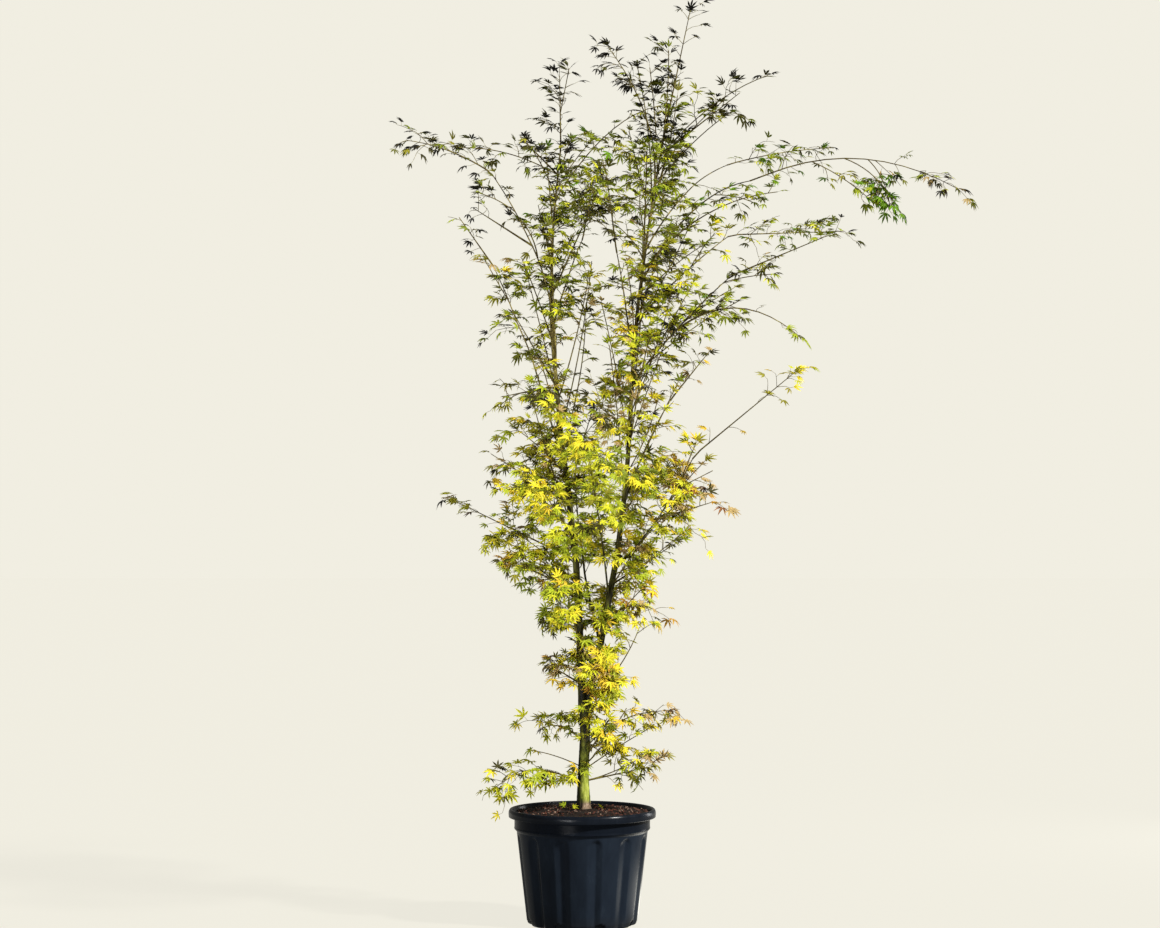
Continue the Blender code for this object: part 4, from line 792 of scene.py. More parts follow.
# slender shoots: host, share of it, tip, thickness, bow, leafy from this share, reach, fullness and colours
slimShoots = {
    "besideRightStem": ("stem_right", 0.52, (0.165, 0.04, 1.86), 0.006, (0.01, 0, 0), 0.3, 0.05, 0.9,
                        "limeCrown"),
    "innerRightStem": ("stem_right", 0.57, (0.118, -0.05, 1.8), 0.005, (0.01, 0, 0), 0.3, 0.05, 0.9,
                       "limeCrown"),
    "middleFront": ("stem_left", 0.555, (0.0155, -0.04, 1.74), 0.0042, (0.006, 0, 0), 0.3, 0.04, 0.9,
                    "oliveMid"),
    "middleBack": ("stem_left", 0.47, (0.01, 0.05, 1.646), 0.0042, (0.012, 0, 0), 0.4, 0.04, 0.7, "oliveMid"),
    "crossing": ("stem_left", 0.917, (0.211, 0.03, 2.229), 0.004, (0, 0, 0.05), 0.2, 0.035, 0.8,
                 "greenCrown"),
    "leftInnerArch": ("bough_left_high", 0.55, (-0.224, 0.06, 1.962), 0.004, (0.02, 0, 0.01), 0.35, 0.04, 1.0,
                      "darkCrown"),
    "rightInnerArch": ("stem_right", 0.735, (0.6, -0.05, 1.984), 0.005, (-0.02, 0, 0.06), 0.3, 0.035, 0.7,
                       "vividArch"),
    "paleShoot": ("stem_right", 0.4, (0.205, -0.03, 1.423), 0.004, (0.01, 0, 0), 0.4, 0.045, 0.8,
                  "limeCrown"),
    "fanLeft": ("stem_right", 0.75, (0.105, 0.05, 1.894), 0.004, (0.01, 0, 0), 0.2, 0.04, 0.8, "greenCrown"),
    "fanMiddle": ("stem_right", 0.79, (0.157, -0.06, 1.989), 0.004, (-0.008, 0, 0), 0.2, 0.04, 0.8,
                  "greenCrown"),
    "topSide": ("stem_right", 0.93, (0.5, -0.1, 2.29), 0.003, (0, 0, 0.03), 0.45, 0.02, 0.3, "inkTips"),
    "archCluster": ("leaves_arch_long", 0.45, (0.848, -0.16, 1.912), 0.0032, (0.01, 0, 0.02), 0.15, 0.05, 1.0,
                    "vividGreen"),
    "forkRight": ("stem_right", 0.02, (0.15, -0.03, 0.79), 0.0045, (0.01, 0, -0.01), 0.15, 0.055, 1.0,
                  "limeMid"),
    "forkRightUpper": ("stem_right", 0.12, (0.175, -0.03, 0.92), 0.0045, (0, 0, 0.01), 0.15, 0.05, 1.0,
                       "goldMid"),
    "trunkRight": ("trunk", 0.42, (0.12, -0.03, 0.585), 0.0045, (-0.005, 0, -0.02), 0.15, 0.05, 1.0,
                   "goldMid"),
    "footRight": ("trunk", 0.28, (0.17, -0.01, 0.455), 0.004, (-0.005, 0, -0.01), 0.3, 0.045, 1.0,
                  "lowGreen"),
    "footLeft": ("trunk", 0.33, (-0.112, -0.02, 0.478), 0.004, (0, 0, 0.01), 0.4, 0.042, 1.0, "lowGreen"),
    "leftWideUpper": ("stem_left", 0.215, (-0.23, -0.06, 1.04), 0.005, (0, 0, 0.02), 0.1, 0.07, 1.0,
                      "limeMid"),
    "leftWideBack": ("stem_left", 0.225, (-0.17, 0.08, 1.05), 0.0045, (0, 0, 0.01), 0.1, 0.07, 1.0,
                     "goldMid"),
    "rightCore": ("stem_right", 0.21, (0.26, -0.06, 1.14), 0.005, (0, 0, 0.02), 0.1, 0.07, 1.0, "limeMid"),
    "rightGoldUpper": ("bough_right_spread", 0.55, (0.35, -0.12, 1.27), 0.004, (0, 0, 0.01), 0.1, 0.066, 1.0,
                       "ochre"),
    "rightStemSide": ("stem_right", 0.5, (0.244, -0.03, 1.72), 0.0042, (0.01, 0, 0), 0.1, 0.05, 0.9,
                      "limeCrown"),
    "rightDenseUpper": ("stem_right", 0.61, (0.34, 0.02, 1.66), 0.0045, (0, 0, 0.01), 0.15, 0.055, 0.9,
                        "greenCrown"),
    "leftUpperFill": ("stem_left", 0.66, (-0.175, -0.03, 1.83), 0.0042, (0, 0, 0.01), 0.15, 0.05, 0.9,
                      "oliveMid"),
    "leftMiddleFill": ("stem_left", 0.42, (-0.185, 0.02, 1.345), 0.0042, (0, 0, 0.01), 0.15, 0.055, 0.9,
                       "oliveMid"),
    "leftRow": ("stem_left", 0.96, (-0.33, 0.04, 2.115), 0.0036, (0, 0, 0.02), 0.1, 0.036, 1.0, "darkCrown"),
    "leftRowInner": ("stem_left", 0.92, (-0.15, -0.05, 2.115), 0.0036, (0, 0, 0.015), 0.1, 0.035, 1.0,
                     "darkCrown"),
    "leftTipSide": ("stem_left", 0.93, (0.015, 0.03, 2.12), 0.0036, (0, 0, 0.01), 0.1, 0.035, 1.0,
                    "greenCrown"),
    "rightTipFront": ("stem_right", 0.93, (0.235, -0.03, 2.37), 0.0038, (0.006, 0, 0), 0.1, 0.042, 1.0,
                      "darkCrown"),
    "rightTipBack": ("stem_right", 0.85, (0.262, 0.05, 2.26), 0.0038, (0.008, 0, 0), 0.15, 0.042, 1.0,
                     "greenCrown"),
    "rightStemUpper": ("stem_right", 0.64, (0.29, 0.02, 1.89), 0.004, (0.005, 0, 0), 0.15, 0.048, 1.0,
                       "greenCrown"),
    "rightStemOuter": ("stem_right", 0.56, (0.48, -0.02, 1.715), 0.0042, (0, 0, 0.02), 0.2, 0.04, 0.9,
                       "greenCrown"),
    "rightStemLower": ("stem_right", 0.36, (0.262, 0.01, 1.47), 0.0038, (0, 0, 0.005), 0.2, 0.04, 0.9,
                       "oliveMid"),
    "archInner": ("leaves_arch_long", 0.3, (0.77, -0.16, 1.945), 0.003, (0, 0, 0.01), 0.2, 0.04, 1.0,
                  "vividArch"),
    "leftTopTip": ("leaves_left_top", 0.5, (-0.036, 0.02, 2.33), 0.0026, (0, 0, 0), 0.2, 0.026, 1.0,
                   "inkTips"),
    "footLeftClump": ("trunk", 0.24, (-0.088, -0.04, 0.41), 0.0034, (0, 0, 0.01), 0.4, 0.038, 1.0, "limeMid"),
    "topMiddle": ("stem_right", 0.9, (0.184, -0.02, 2.325), 0.0036, (0.004, 0, 0), 0.25, 0.036, 1.0,
                  "inkTips"),
    "topOutside": ("stem_right", 0.88, (0.402, -0.04, 2.2), 0.0036, (0, 0, 0.015), 0.25, 0.044, 1.0,
                   "darkCrown"),
    "topInner": ("stem_right", 0.82, (0.128, 0.03, 2.16), 0.0034, (0, 0, 0), 0.45, 0.034, 1.0, "greenCrown"),
    "leftTipLow": ("stem_left", 0.86, (-0.1, -0.04, 2.1), 0.0036, (0, 0, 0.006), 0.2, 0.044, 1.0,
                   "greenCrown"),
    "leftStemFront": ("stem_left", 0.74, (-0.022, -0.06, 1.86), 0.0036, (0, 0, 0.006), 0.2, 0.044, 1.0,
                      "greenCrown"),
    "rightDenseOuter": ("bough_right_red", 0.55, (0.4, -0.15, 1.71), 0.0036, (0, 0, 0.006), 0.15, 0.044, 1.0,
                        "greenCrown"),
    "gapUpper": ("stem_right", 0.44, (0.052, 0.02, 1.69), 0.0038, (0.006, 0, 0), 0.35, 0.042, 1.0,
                 "limeCrown"),
    "gapLower": ("stem_right", 0.36, (0.072, -0.05, 1.575), 0.0038, (0.004, 0, 0), 0.45, 0.04, 1.0,
                 "oliveMid"),
    "trunkTop": ("stem_right", 0.05, (0.052, -0.06, 0.8), 0.0036, (0, 0, 0.004), 0.2, 0.046, 1.0, "limeMid"),
    "footLeftUpper": ("trunk", 0.4, (-0.13, -0.03, 0.47), 0.0036, (0, 0, 0.006), 0.45, 0.038, 1.0,
                      "lowGreen"),
    "frontMiddle": ("stem_left", 0.42, (-0.11, -0.32, 1.51), 0.005, (0, 0, 0.03), 0.2, 0.055, 0.9,
                    "oliveMid"),
    "backMiddle": ("stem_left", 0.46, (-0.085, 0.34, 1.57), 0.005, (0, 0, 0.03), 0.2, 0.055, 0.9, "oliveMid"),
    "frontRight": ("stem_right", 0.42, (0.175, -0.35, 1.57), 0.005, (0, 0, 0.03), 0.2, 0.055, 0.9,
                   "limeCrown"),
    "backRight": ("stem_right", 0.47, (0.16, 0.36, 1.64), 0.005, (0, 0, 0.03), 0.2, 0.055, 0.9, "greenCrown"),
    "frontLower": ("stem_left", 0.1, (-0.05, -0.25, 0.93), 0.0048, (0, 0, 0.02), 0.2, 0.055, 0.9, "limeMid"),
    "backLower": ("stem_right", 0.1, (0.08, 0.28, 0.94), 0.0048, (0, 0, 0.02), 0.2, 0.06, 1.0, "goldMid"),
    "frontFoot": ("trunk", 0.64, (0.036, -0.19, 0.61), 0.0044, (0, 0, 0.015), 0.25, 0.048, 0.9, "limeMid"),
    "backFoot": ("trunk", 0.5, (0.01, 0.21, 0.59), 0.0044, (0, 0, 0.015), 0.2, 0.052, 1.0, "lowGreen"),
    "frontCrown": ("stem_left", 0.62, (-0.08, -0.3, 1.83), 0.0046, (0, 0, 0.025), 0.25, 0.05, 0.9,
                   "greenCrown"),
    "backCrown": ("stem_right", 0.64, (0.24, 0.34, 1.88), 0.0046, (0, 0, 0.025), 0.2, 0.052, 0.9,
                  "greenCrown"),
    "leftTipCentre": ("stem_left", 0.95, (-0.036, -0.04, 2.115), 0.0032, (0, 0, 0), 0.1, 0.042, 1.0,
                      "darkCrown"),
    "leftMidTip": ("bough_left_mid", 0.85, (-0.262, -0.17, 1.79), 0.003, (0, 0, 0), 0.1, 0.036, 1.0,
                   "oliveMid"),
    "rightStemEdge": ("stem_right", 0.52, (0.3, 0.02, 1.735), 0.0038, (0, 0, 0.006), 0.25, 0.044, 1.0,
                      "greenCrown"),
    "rightStemKnee": ("stem_right", 0.45, (0.246, -0.02, 1.63), 0.0038, (0, 0, 0.006), 0.2, 0.046, 1.0,
                      "limeCrown"),
    "rightGoldTop": ("bough_right_spread", 0.8, (0.305, -0.1, 1.3), 0.0036, (0, 0, 0), 0.1, 0.044, 1.0,
                     "ochre"),
    "rightLowFill": ("stem_right", 0.185, (0.275, -0.04, 1.06), 0.0044, (0, 0, 0.01), 0.25, 0.062, 1.0,
                     "limeMid"),
    "leftLowFill": ("stem_left", 0.195, (-0.2, -0.02, 1.015), 0.0044, (0, 0, 0.01), 0.2, 0.058, 1.0,
                    "goldMid"),
    "archClusterLow": ("leaves_arch_long", 0.56, (0.822, -0.15, 1.925), 0.003, (0.01, 0, 0.01), 0.35,
                       0.046, 1.0, "vividGreen"),
    "goldTip": ("bough_right_spread", 0.75, (0.35, -0.1, 1.226), 0.0032, (0, 0, 0), 0.5, 0.034, 1.0,
                "dryTips"),
    "leftArchHang": ("bough_left_high", 0.8, (-0.272, -0.15, 1.965), 0.003, (0, 0, 0.006), 0.3, 0.036, 1.0,
                     "darkCrown"),
    "archBetween": ("bough_right_long", 0.75, (0.46, -0.05, 1.955), 0.003, (0, 0, 0.006), 0.2, 0.038, 1.0,
                    "vividArch"),
    "rightMidOuter": ("bough_right_mid", 0.6, (0.364, 0.05, 1.88), 0.003, (0, 0, 0.006), 0.3, 0.038, 1.0,
                      "limeCrown"),
    "rightRedTip": ("bough_right_red", 0.96, (0.495, -0.3, 1.735), 0.003, (0, 0, 0.004), 0.3, 0.038, 1.0,
                    "greenCrown"),
    "middleThird": ("stem_left", 0.5, (0.026, 0.01, 1.8), 0.004, (0.01, 0, 0), 0.35, 0.042, 1.0, "oliveMid"),
    "leftLowerFill": ("stem_left", 0.33, (-0.135, -0.04, 1.42), 0.0042, (-0.005, 0, 0), 0.15, 0.055, 1.0,
                      "oliveMid"),
    "leftBendFill": ("stem_left", 0.56, (-0.15, 0.04, 1.76), 0.004, (0, 0, 0.005), 0.2, 0.045, 1.0,
                     "greenCrown"),
    "trunkFront": ("trunk", 0.82, (0.062, -0.075, 0.65), 0.004, (0, 0, 0.004), 0.15, 0.048, 1.0, "goldMid"),
    "trunkFrontLow": ("trunk", 0.56, (0.06, -0.06, 0.53), 0.0036, (0, 0, 0.004), 0.2, 0.042, 1.0, "limeMid"),
    "trunkSprig": ("trunk", 0.3, (-0.014, -0.06, 0.425), 0.003, (0, 0, 0.004), 0.45, 0.026, 1.0, "limeMid"),
    "forkRightLow": ("trunk", 0.38, (0.19, -0.03, 0.535), 0.004, (0, 0, 0.004), 0.35, 0.045, 1.0, "ochre"),
    "rightFan": ("stem_right", 0.69, (0.33, -0.04, 1.84), 0.004, (0, 0, 0.01), 0.15, 0.045, 0.8,
                 "greenCrown"),
    "darkShoot": ("stem_right", 0.84, (0.15, 0.02, 2.34), 0.0042, (0.012, 0, 0), 0.2, 0.04, 0.65,
                  "darkCrown"),
    "topRightShoot": ("stem_right", 0.9, (0.385, -0.02, 2.235), 0.0038, (0, 0, 0.015), 0.3, 0.04, 0.8,
                      "darkCrown"),
}
# sprays that leave the limbs: limb, from and to this share, gap between them, reach, fullness and colours,
# which follow the height where none are given
limbSprays = (
    ("trunk", 0.50, 0.98, 0.040, 0.050, 0.8, "goldMid"),
    ("stem_left", 0.04, 0.09, 0.040, 0.055, 0.9, "ochre"),
    ("stem_left", 0.09, 0.20, 0.035, 0.060, 1.0, "hanging"),
    ("stem_left", 0.20, 0.50, 0.030, 0.105, 1.0, None),
    ("stem_left", 0.50, 0.72, 0.050, 0.070, 0.8, None),
    ("stem_left", 0.72, 0.99, 0.045, 0.055, 0.9, None),
    ("stem_right", 0.02, 0.17, 0.030, 0.075, 1.0, "limeMid"),
    ("stem_right", 0.17, 0.48, 0.028, 0.105, 1.0, None),
    ("stem_right", 0.48, 0.76, 0.035, 0.080, 0.9, "limeCrown"),
    ("stem_right", 0.76, 0.99, 0.050, 0.055, 0.8, None),
    ("stem_back", 0.20, 0.95, 0.045, 0.070, 0.9, "limeMid"),
    ("bough_left_mid", 0.20, 0.98, 0.050, 0.050, 0.7, "greenCrown"),
    ("bough_left_high", 0.30, 0.98, 0.055, 0.040, 0.5, "darkCrown"),
    ("bough_back", 0.30, 0.98, 0.050, 0.070, 0.9, "oliveMid"),
    ("bough_front", 0.30, 0.98, 0.050, 0.070, 0.9, "limeMid"),
    ("bough_right_spread", 0.20, 0.98, 0.045, 0.055, 0.8, "ochre"),
    ("bough_right_low", 0.25, 0.98, 0.060, 0.045, 0.5, "oliveMid"),
    ("bough_right_red", 0.20, 0.98, 0.050, 0.045, 0.7, "greenCrown"),
    ("bough_right_mid", 0.20, 0.98, 0.055, 0.045, 0.7, "limeCrown"),
    ("bough_right_long", 0.20, 0.98, 0.055, 0.045, 0.7, "vividArch"),
    ("bough_right_top", 0.20, 0.98, 0.055, 0.045, 0.7, "greenCrown"),
    ("bough_upper_back", 0.25, 0.98, 0.055, 0.055, 0.8, "greenCrown"),
    ("bough_upper_front", 0.25, 0.98, 0.055, 0.050, 0.8, "greenCrown"),
)
# small leaves on the soil beside the trunk: x, y, bearing and size
sprouts = (
    (-0.038, -0.022, 2.9, 0.62), (-0.048, -0.014, 4.3, 0.52), (-0.030, -0.030, 0.2, 0.50),
    (0.040, -0.020, 0.3, 0.58), (0.050, -0.014, 4.9, 0.45),
)
foliage = {
    "blade": (0.0335, 0.0346),          # length of a leaf at the foot of the crown and at its top
    "outward": (0.50, 0.05),            # how far a leaf's face turns outwards, at the foot and at the top
    "light": ((0.40, -0.75, 0.0), (0.15, -0.15, 0.0)),    # and towards the light
    "hang": ((0.10, 0.65), (-0.10, 0.40)),    # how far it hangs, least and most, at the foot and at the top
    "curl": ((0.05, 0.45), (0.05, 0.50)),
    "unevenness": (0.28, 0.24),
    "heights": (0.60, 1.90),            # where the foot and the top of the crown are, for these
    "axis": (0.06, 0.05),               # x of the crown's middle, and how gently faces turn outwards from it
    "fullness": 0.80,
    "petiole": (0.30, 0.55),            # length of the stalk as a share of the blade's
    "stalkRise": (0.0, 0.35),
    "stalkRadius": 0.00045,
    "fold": (0.30, 1.00),
    "closing": (2.2, 3.0),              # how much narrower leaves are towards the top, and at random
    "strayTint": 0.55,                  # share of leaves whose colour isn't their spray's
    "barest": 0.32,                     # a twig is left out where fewer leaves than this are kept
}
# kinds of shoot: radii at foot and tip, bare share and leaf size
shootKinds = {
    "twig": ((0.0011, 0.0006), 0.25, 1.0),
    "side": ((0.0008, 0.0005), 0.45, 0.95),
    "spray": ((0.0007, 0.0005), 0.10, 0.95),
    "short": ((0.0008, 0.0005), 0.60, 0.95),
}
shoots = {
    "points": (12, 4),                  # on a leafy stem's line and on a shoot's
    "sides": (6, 5),
    "bow": (0.004, 0.08),               # sideways at random, and upwards as a share of the length
    "leafGap": 0.0148,
    "firstLeaf": 0.3,                   # place of a pair within its gap
    "pairTurn": (0.4, 0.9),             # how far a pair is turned, at random and against the pair before
    "pairSizes": (0.8, 1.15),
    "taper": 0.2,                       # how much smaller the leaves get towards the tip
    "forward": (0.4, 0.8),
    "tipTurns": (-0.9, 0.0, 0.9),
    "tipSizes": (0.65, 0.95),
}
branchlets = {
    "shortest": 0.05,                   # one that is no longer has no side shoots
    "places": (0.35, 0.65),
    "rise": (-0.5, 0.3),
    "forward": 0.7,
    "lengths": (0.30, 0.50),
}
leafyStems = {
    "radii": (0.0030, 0.0010),          # at most this thick at the foot, and at the tip
    "shootTip": 0.0012,                 # tip radius of a slender shoot
    "tried": (0.3, 1.0, 36),            # places where a line may be cut short
    "endTurns": (-1.2, -0.5, 0.0, 0.5, 1.2),
    "endStep": 0.012,                   # how far back from the end a leaf sits for each unit of its turn
    "endFullness": 0.75,
    "endZone": 0.35,                    # share of a mass's stem round its end that has the end's colours
    "slack": 0.02,                      # how far past a cut bough's end a twig may still stand
    "sprayLength": 0.5,                 # length of a spray's shoot, next to the spray's own
    "shortFrom": (0.08, 0.97),          # short shoots leave the stem between these shares
    "shortForward": 0.8,
    "shortLengths": (0.022, 0.045),
    "shortGap": 0.035,
}
limbShoots = {
    "spiral": (2.4, 0.3),               # turn from one to the next, and its unevenness
    "forward": 0.7,
    "reaches": (0.6, 1.2),
    "gaps": (0.7, 1.3),
    "slimGap": 0.040,                   # gap between those on a slender shoot
}
# colours of a limb's sprays up to these heights, darker towards the top as painted shade, and lighter ones on
# the side that the sun lights, from this x on, as painted light
heightColours = (
    (0.95, "goldMid"), (1.30, "limeMid"), (1.75, "oliveMid"), (2.10, "greenCrown"), (9.0, "darkCrown"),
)
sunnySide = {"from": 0.06, "between": (1.25, 2.0), "blur": 0.08, "palette": "limeCrown"}

# places where the crown is open, seen from the front: x, z, half width, half height, share of leaves kept
clearings = np.array((
    (0.23, 2.48, 0.03, 0.04, 0), (0.14, 2.39, 0.04, 0.04, 0.1), (0.3, 2.41, 0.04, 0.04, 0.2),
    (-0.03, 2.28, 0.04, 0.05, 0.5), (-0.22, 2.16, 0.05, 0.03, 0.2), (0.09, 2.21, 0.04, 0.03, 0.2),
    (0.48, 2.24, 0.05, 0.04, 0.1), (0.66, 2.15, 0.08, 0.03, 0.1), (-0.46, 2.13, 0.04, 0.05, 0.5),
    (0.09, 2.09, 0.07, 0.05, 0.5), (0.35, 2.13, 0.04, 0.05, 0.3), (0.4, 2.15, 0.04, 0.03, 0.1),
    (0.73, 2.1, 0.04, 0.03, 0.2), (0.8, 2.08, 0.07, 0.04, 0.1), (-0.15, 1.99, 0.03, 0.06, 0.2),
    (0.19, 2.04, 0.03, 0.04, 0.2), (0.4, 2.04, 0.09, 0.03, 0.2), (0.59, 2.02, 0.06, 0.04, 0.3),
    (0.68, 2.04, 0.04, 0.05, 0.5), (0.7, 1.98, 0.05, 0.03, 0.3), (0.91, 1.99, 0.06, 0.02, 0.3),
    (-0.35, 1.94, 0.05, 0.02, 0.2), (-0.25, 1.93, 0.04, 0.03, 0.3), (-0.22, 1.85, 0.08, 0.04, 0.2),
    (0.02, 1.86, 0.04, 0.05, 0.3), (0.16, 1.89, 0.06, 0.09, 0.5), (0.84, 1.86, 0.05, 0.03, 0.1),
    (-0.14, 1.84, 0.04, 0.05, 0.5), (0.06, 1.83, 0.04, 0.04, 0.4), (0.42, 1.83, 0.11, 0.03, 0.5),
    (0.67, 1.82, 0.08, 0.04, 0.1), (-0.14, 1.66, 0.03, 0.03, 0.3), (-0.03, 1.74, 0.04, 0.05, 0.6),
    (0.48, 1.71, 0.05, 0.03, 0.3), (-0.25, 1.55, 0.06, 0.03, 0.2), (0.02, 1.6, 0.08, 0.03, 0.5),
    (0.45, 1.6, 0.08, 0.03, 0.2), (0.56, 1.65, 0.09, 0.03, 0.1), (-0.26, 1.5, 0.04, 0.02, 0.1),
    (-0.06, 1.52, 0.06, 0.05, 0.4), (-0.03, 1.55, 0.04, 0.04, 0.4), (0.07, 1.53, 0.04, 0.05, 0.4),
    (0.19, 1.51, 0.04, 0.07, 0.4), (0.32, 1.48, 0.05, 0.04, 0.2), (0.4, 1.54, 0.05, 0.05, 0.1),
    (0.51, 1.45, 0.05, 0.04, 0.2), (0.54, 1.54, 0.04, 0.03, 0.2), (-0.27, 1.44, 0.05, 0.03, 0.2),
    (0.06, 1.37, 0.1, 0.06, 0.5), (0.18, 1.39, 0.04, 0.03, 0.4), (0.46, 1.39, 0.04, 0.03, 0.2),
    (-0.29, 1.28, 0.04, 0.03, 0.1), (0.37, 1.28, 0.05, 0.03, 0.2), (0.42, 1.34, 0.04, 0.05, 0.2),
    (-0.3, 1.23, 0.04, 0.03, 0.1), (0.4, 1.21, 0.04, 0.05, 0.1), (-0.37, 1.09, 0.04, 0.05, 0.1),
    (0.35, 1.11, 0.05, 0.03, 0.1), (-0.31, 1.01, 0.04, 0.04, 0.2), (0.23, 0.98, 0.05, 0.05, 0.4),
    (0.3, 1.0, 0.05, 0.04, 0.1), (-0.29, 0.94, 0.06, 0.05, 0.1), (-0.23, 0.87, 0.07, 0.05, 0.1),
    (0.05, 0.95, 0.07, 0.03, 0.3), (0.24, 0.89, 0.04, 0.03, 0.2), (-0.15, 0.81, 0.03, 0.07, 0),
    (0.2, 0.81, 0.05, 0.04, 0.4), (-0.13, 0.68, 0.04, 0.04, 0.2), (0.15, 0.68, 0.04, 0.07, 0.3),
    (-0.06, 0.62, 0.07, 0.03, 0.2), (0.17, 0.58, 0.07, 0.03, 0.4), (0.22, 0.63, 0.07, 0.03, 0.1),
    (-0.15, 0.52, 0.03, 0.03, 0), (-0.09, 0.46, 0.08, 0.03, 0.3), (-0.03, 0.47, 0.03, 0.04, 0.1),
    (-0.32, 0.41, 0.04, 0.04, 0.1), (-0.23, 0.39, 0.07, 0.03, 0.4), (0.23, 0.41, 0.03, 0.03, 0.1),
    (-0.23, 0.29, 0.09, 0.04, 0.1), (0.11, 0.34, 0.07, 0.02, 0.3),
))

# the lane that the sun takes to the foot of the trunk, and the way towards the sun
sunlit = {"foot": (0.010, -0.010, 0.370), "reach": 0.75, "level": 0.028, "upright": 0.042}
lean, bearing = math.radians(outlook["sunTurn"][0]), math.radians(outlook["sunTurn"][2])
sunward = (math.sin(bearing) * math.sin(lean), -math.cos(bearing) * math.sin(lean), math.cos(lean))
sunward = np.array(sunward).round(4)

massLines = {}
massRadii = {}
for name, (host, share, end, reach, pairs, leaf, bow, bare) in masses.items():
    massLines[name] = lineFrom(limbLines[host], share, end, bow, 0.035)
    foot = min(growth["stemThick"][0] / 2, 0.95 * np.interp(share, (0.0, 1.0), limbRadii[host]))
    massRadii[name] = (foot, min(foot, growth["stemThick"][1] / 2))


# The straight pieces of some lines: their starts and their ends.
def spans(lines):
    return np.vstack([line[:-1] for line in lines]), np.vstack([line[1:] for line in lines])


coarse = {name: line[::4] for name, line in limbLines.items()}
limbSpans = spans(coarse.values())
limbWidths = np.concatenate([np.linspace(*limbRadii[name], len(line))[:-1] for name, line in coarse.items()])
stemSpans = spans(massLines.values())
stemOwner = np.concatenate([[name] * (len(line) - 1) for name, line in massLines.items()])


# Distance of every point to every straight span.
def spanDistances(points, pair):
    start, end = pair
    run = end - start
    offset = points[:, None, :] - start[None]
    share = np.clip((offset * run).sum(-1) / (run * run).sum(-1), 0.0, 1.0)
    return np.linalg.norm(offset - share[..., None] * run, axis=-1)


# Whether points are clear of the pot and the limbs, and nearer to their own mass's stem than to any other's.
def hasRoom(points, name):
    points = np.asarray(points)
    overPot = np.hypot(points[:, 0], points[:, 1]) < growth["potClear"][0]
    if np.any(overPot & (points[:, 2] < growth["potClear"][1])):
        return False
    if np.any(spanDistances(points, limbSpans) - limbWidths < growth["limbClear"]):
        return False
    reach = spanDistances(points, stemSpans)
    own = stemOwner == name
    return bool(np.all(reach[:, ~own].min(1) - reach[:, own].min(1) > growth["margin"]))


# Axes of a spray: along it and across it, rolled about its length.
def sprayAxes(heading, roll):
    along = unitOf(heading)
    across = -sideOf(along)
    face = np.cross(along, across)
    return along, across * math.cos(roll) + face * math.sin(roll)


# Points of a spray's outline and ribs, in its axes.
def sprayProbe(root, heading, length, roll):
    along, across = sprayAxes(heading, roll)
    rim = [np.array(corner) for corner in growth["sprayRim"]]
    flat = [rim[0], rim[1], rim[5]]
    for lobe in (rim[0], rim[2], rim[4]):
        flat += [lobe * share for share in growth["ribProbe"]]
    flat = np.array(flat) * length
    return root + flat[:, :1] * along + flat[:, 1:] * across


# The source's rule: twigs in opposite pairs up the stem, each with a spray at its tip, and sprays at its end.
def growMass(name):
    reach, pairs, leaf, bare = (masses[name][k] for k in (3, 4, 5, 7))
    dice = random.Random(name)
    line = massLines[name]
    spread, angle, sizes = growth["slantSpread"], growth["twigAngle"], growth["leafSizes"]
    twigs, sprays = [], []

    def offer(root, heading, size, twigTip=None):
        heading = unitOf(np.array(heading) + (0.0, 0.0, -dice.uniform(*growth["droop"])))
        length = leaf * size
        roll = dice.uniform(-growth["roll"], growth["roll"])
        if hasRoom(sprayProbe(root, heading, length, roll), name):
            sprays.append((root, heading, length, twigTip))
            return True
        return False

    for pair in range(pairs):
        place = bare + (growth["lastPair"] - bare) * (pair + 0.5) / pairs
        root, forward = alongLine(line, place)
        longest = reach * (growth["endTwig"] + (1 - growth["endTwig"]) * math.sin(math.pi * place))
        for hand in (1, -1):
            for attempt in range(growth["attempts"]):
                slant = growth["slants"][pair % 2] + dice.uniform(-spread, spread)
                outward = unitOf(squareTo(forward, slant) * hand)
                heading = unitOf(forward * math.cos(angle) + outward * math.sin(angle))
                twigTip = root + heading * longest * (1 - growth["shorten"] * attempt / growth["attempts"])
                probe = [root + (twigTip - root) * part for part in growth["twigProbe"]]
                if hasRoom(probe, name) and offer(twigTip, heading, dice.uniform(*sizes), twigTip):
                    twigs.append((root, twigTip))
                    if hand == 1 and reach >= growth["wideReach"]:
                        part, turn, size = growth["middleLeaf"]
                        middle = root + (twigTip - root) * part
                        offer(middle, unitOf(heading + sideOf(heading) * turn), size, twigTip)
                    break
    for place, turn, size in growth["endLeaves"]:
        root, forward = alongLine(line, place)
        offer(root, forward + sideOf(forward) * turn, size)
    return twigs, sprays


leafRows = {tint: [] for tint in tints}
leafNodes = {tint: set() for tint in tints}
twigRows = []          # a line and its two radii
petioleRows = []


# From the first to the second of two values, or of two rows of them.
def between(pair, share):
    low, high = np.array(pair, dtype=float)
    return low + (high - low) * share


# A tint drawn from a palette by its weights: the first whose running total passes the draw.
def pickTint(dice, palette):
    names = list(palettes[palette])
    return dice.choices(names, [palettes[palette][tint] for tint in names])[0]


# Share of leaves kept at a point: the clearings lie in the plane through the trunk, seen from the camera, and
# each is a rectangle with rounded corners.
def kept(point):
    away, eye = -outlook["camera"][1], outlook["camera"][2]
    nearer = away / (away + point[1])
    x, z = point[0] * nearer, eye + (point[2] - eye) * nearer
    across, up, half, halfHeight, share = clearings.T
    return share[((across - x) / half) ** 4 + ((up - z) / halfHeight) ** 4 < 1.0].prod()


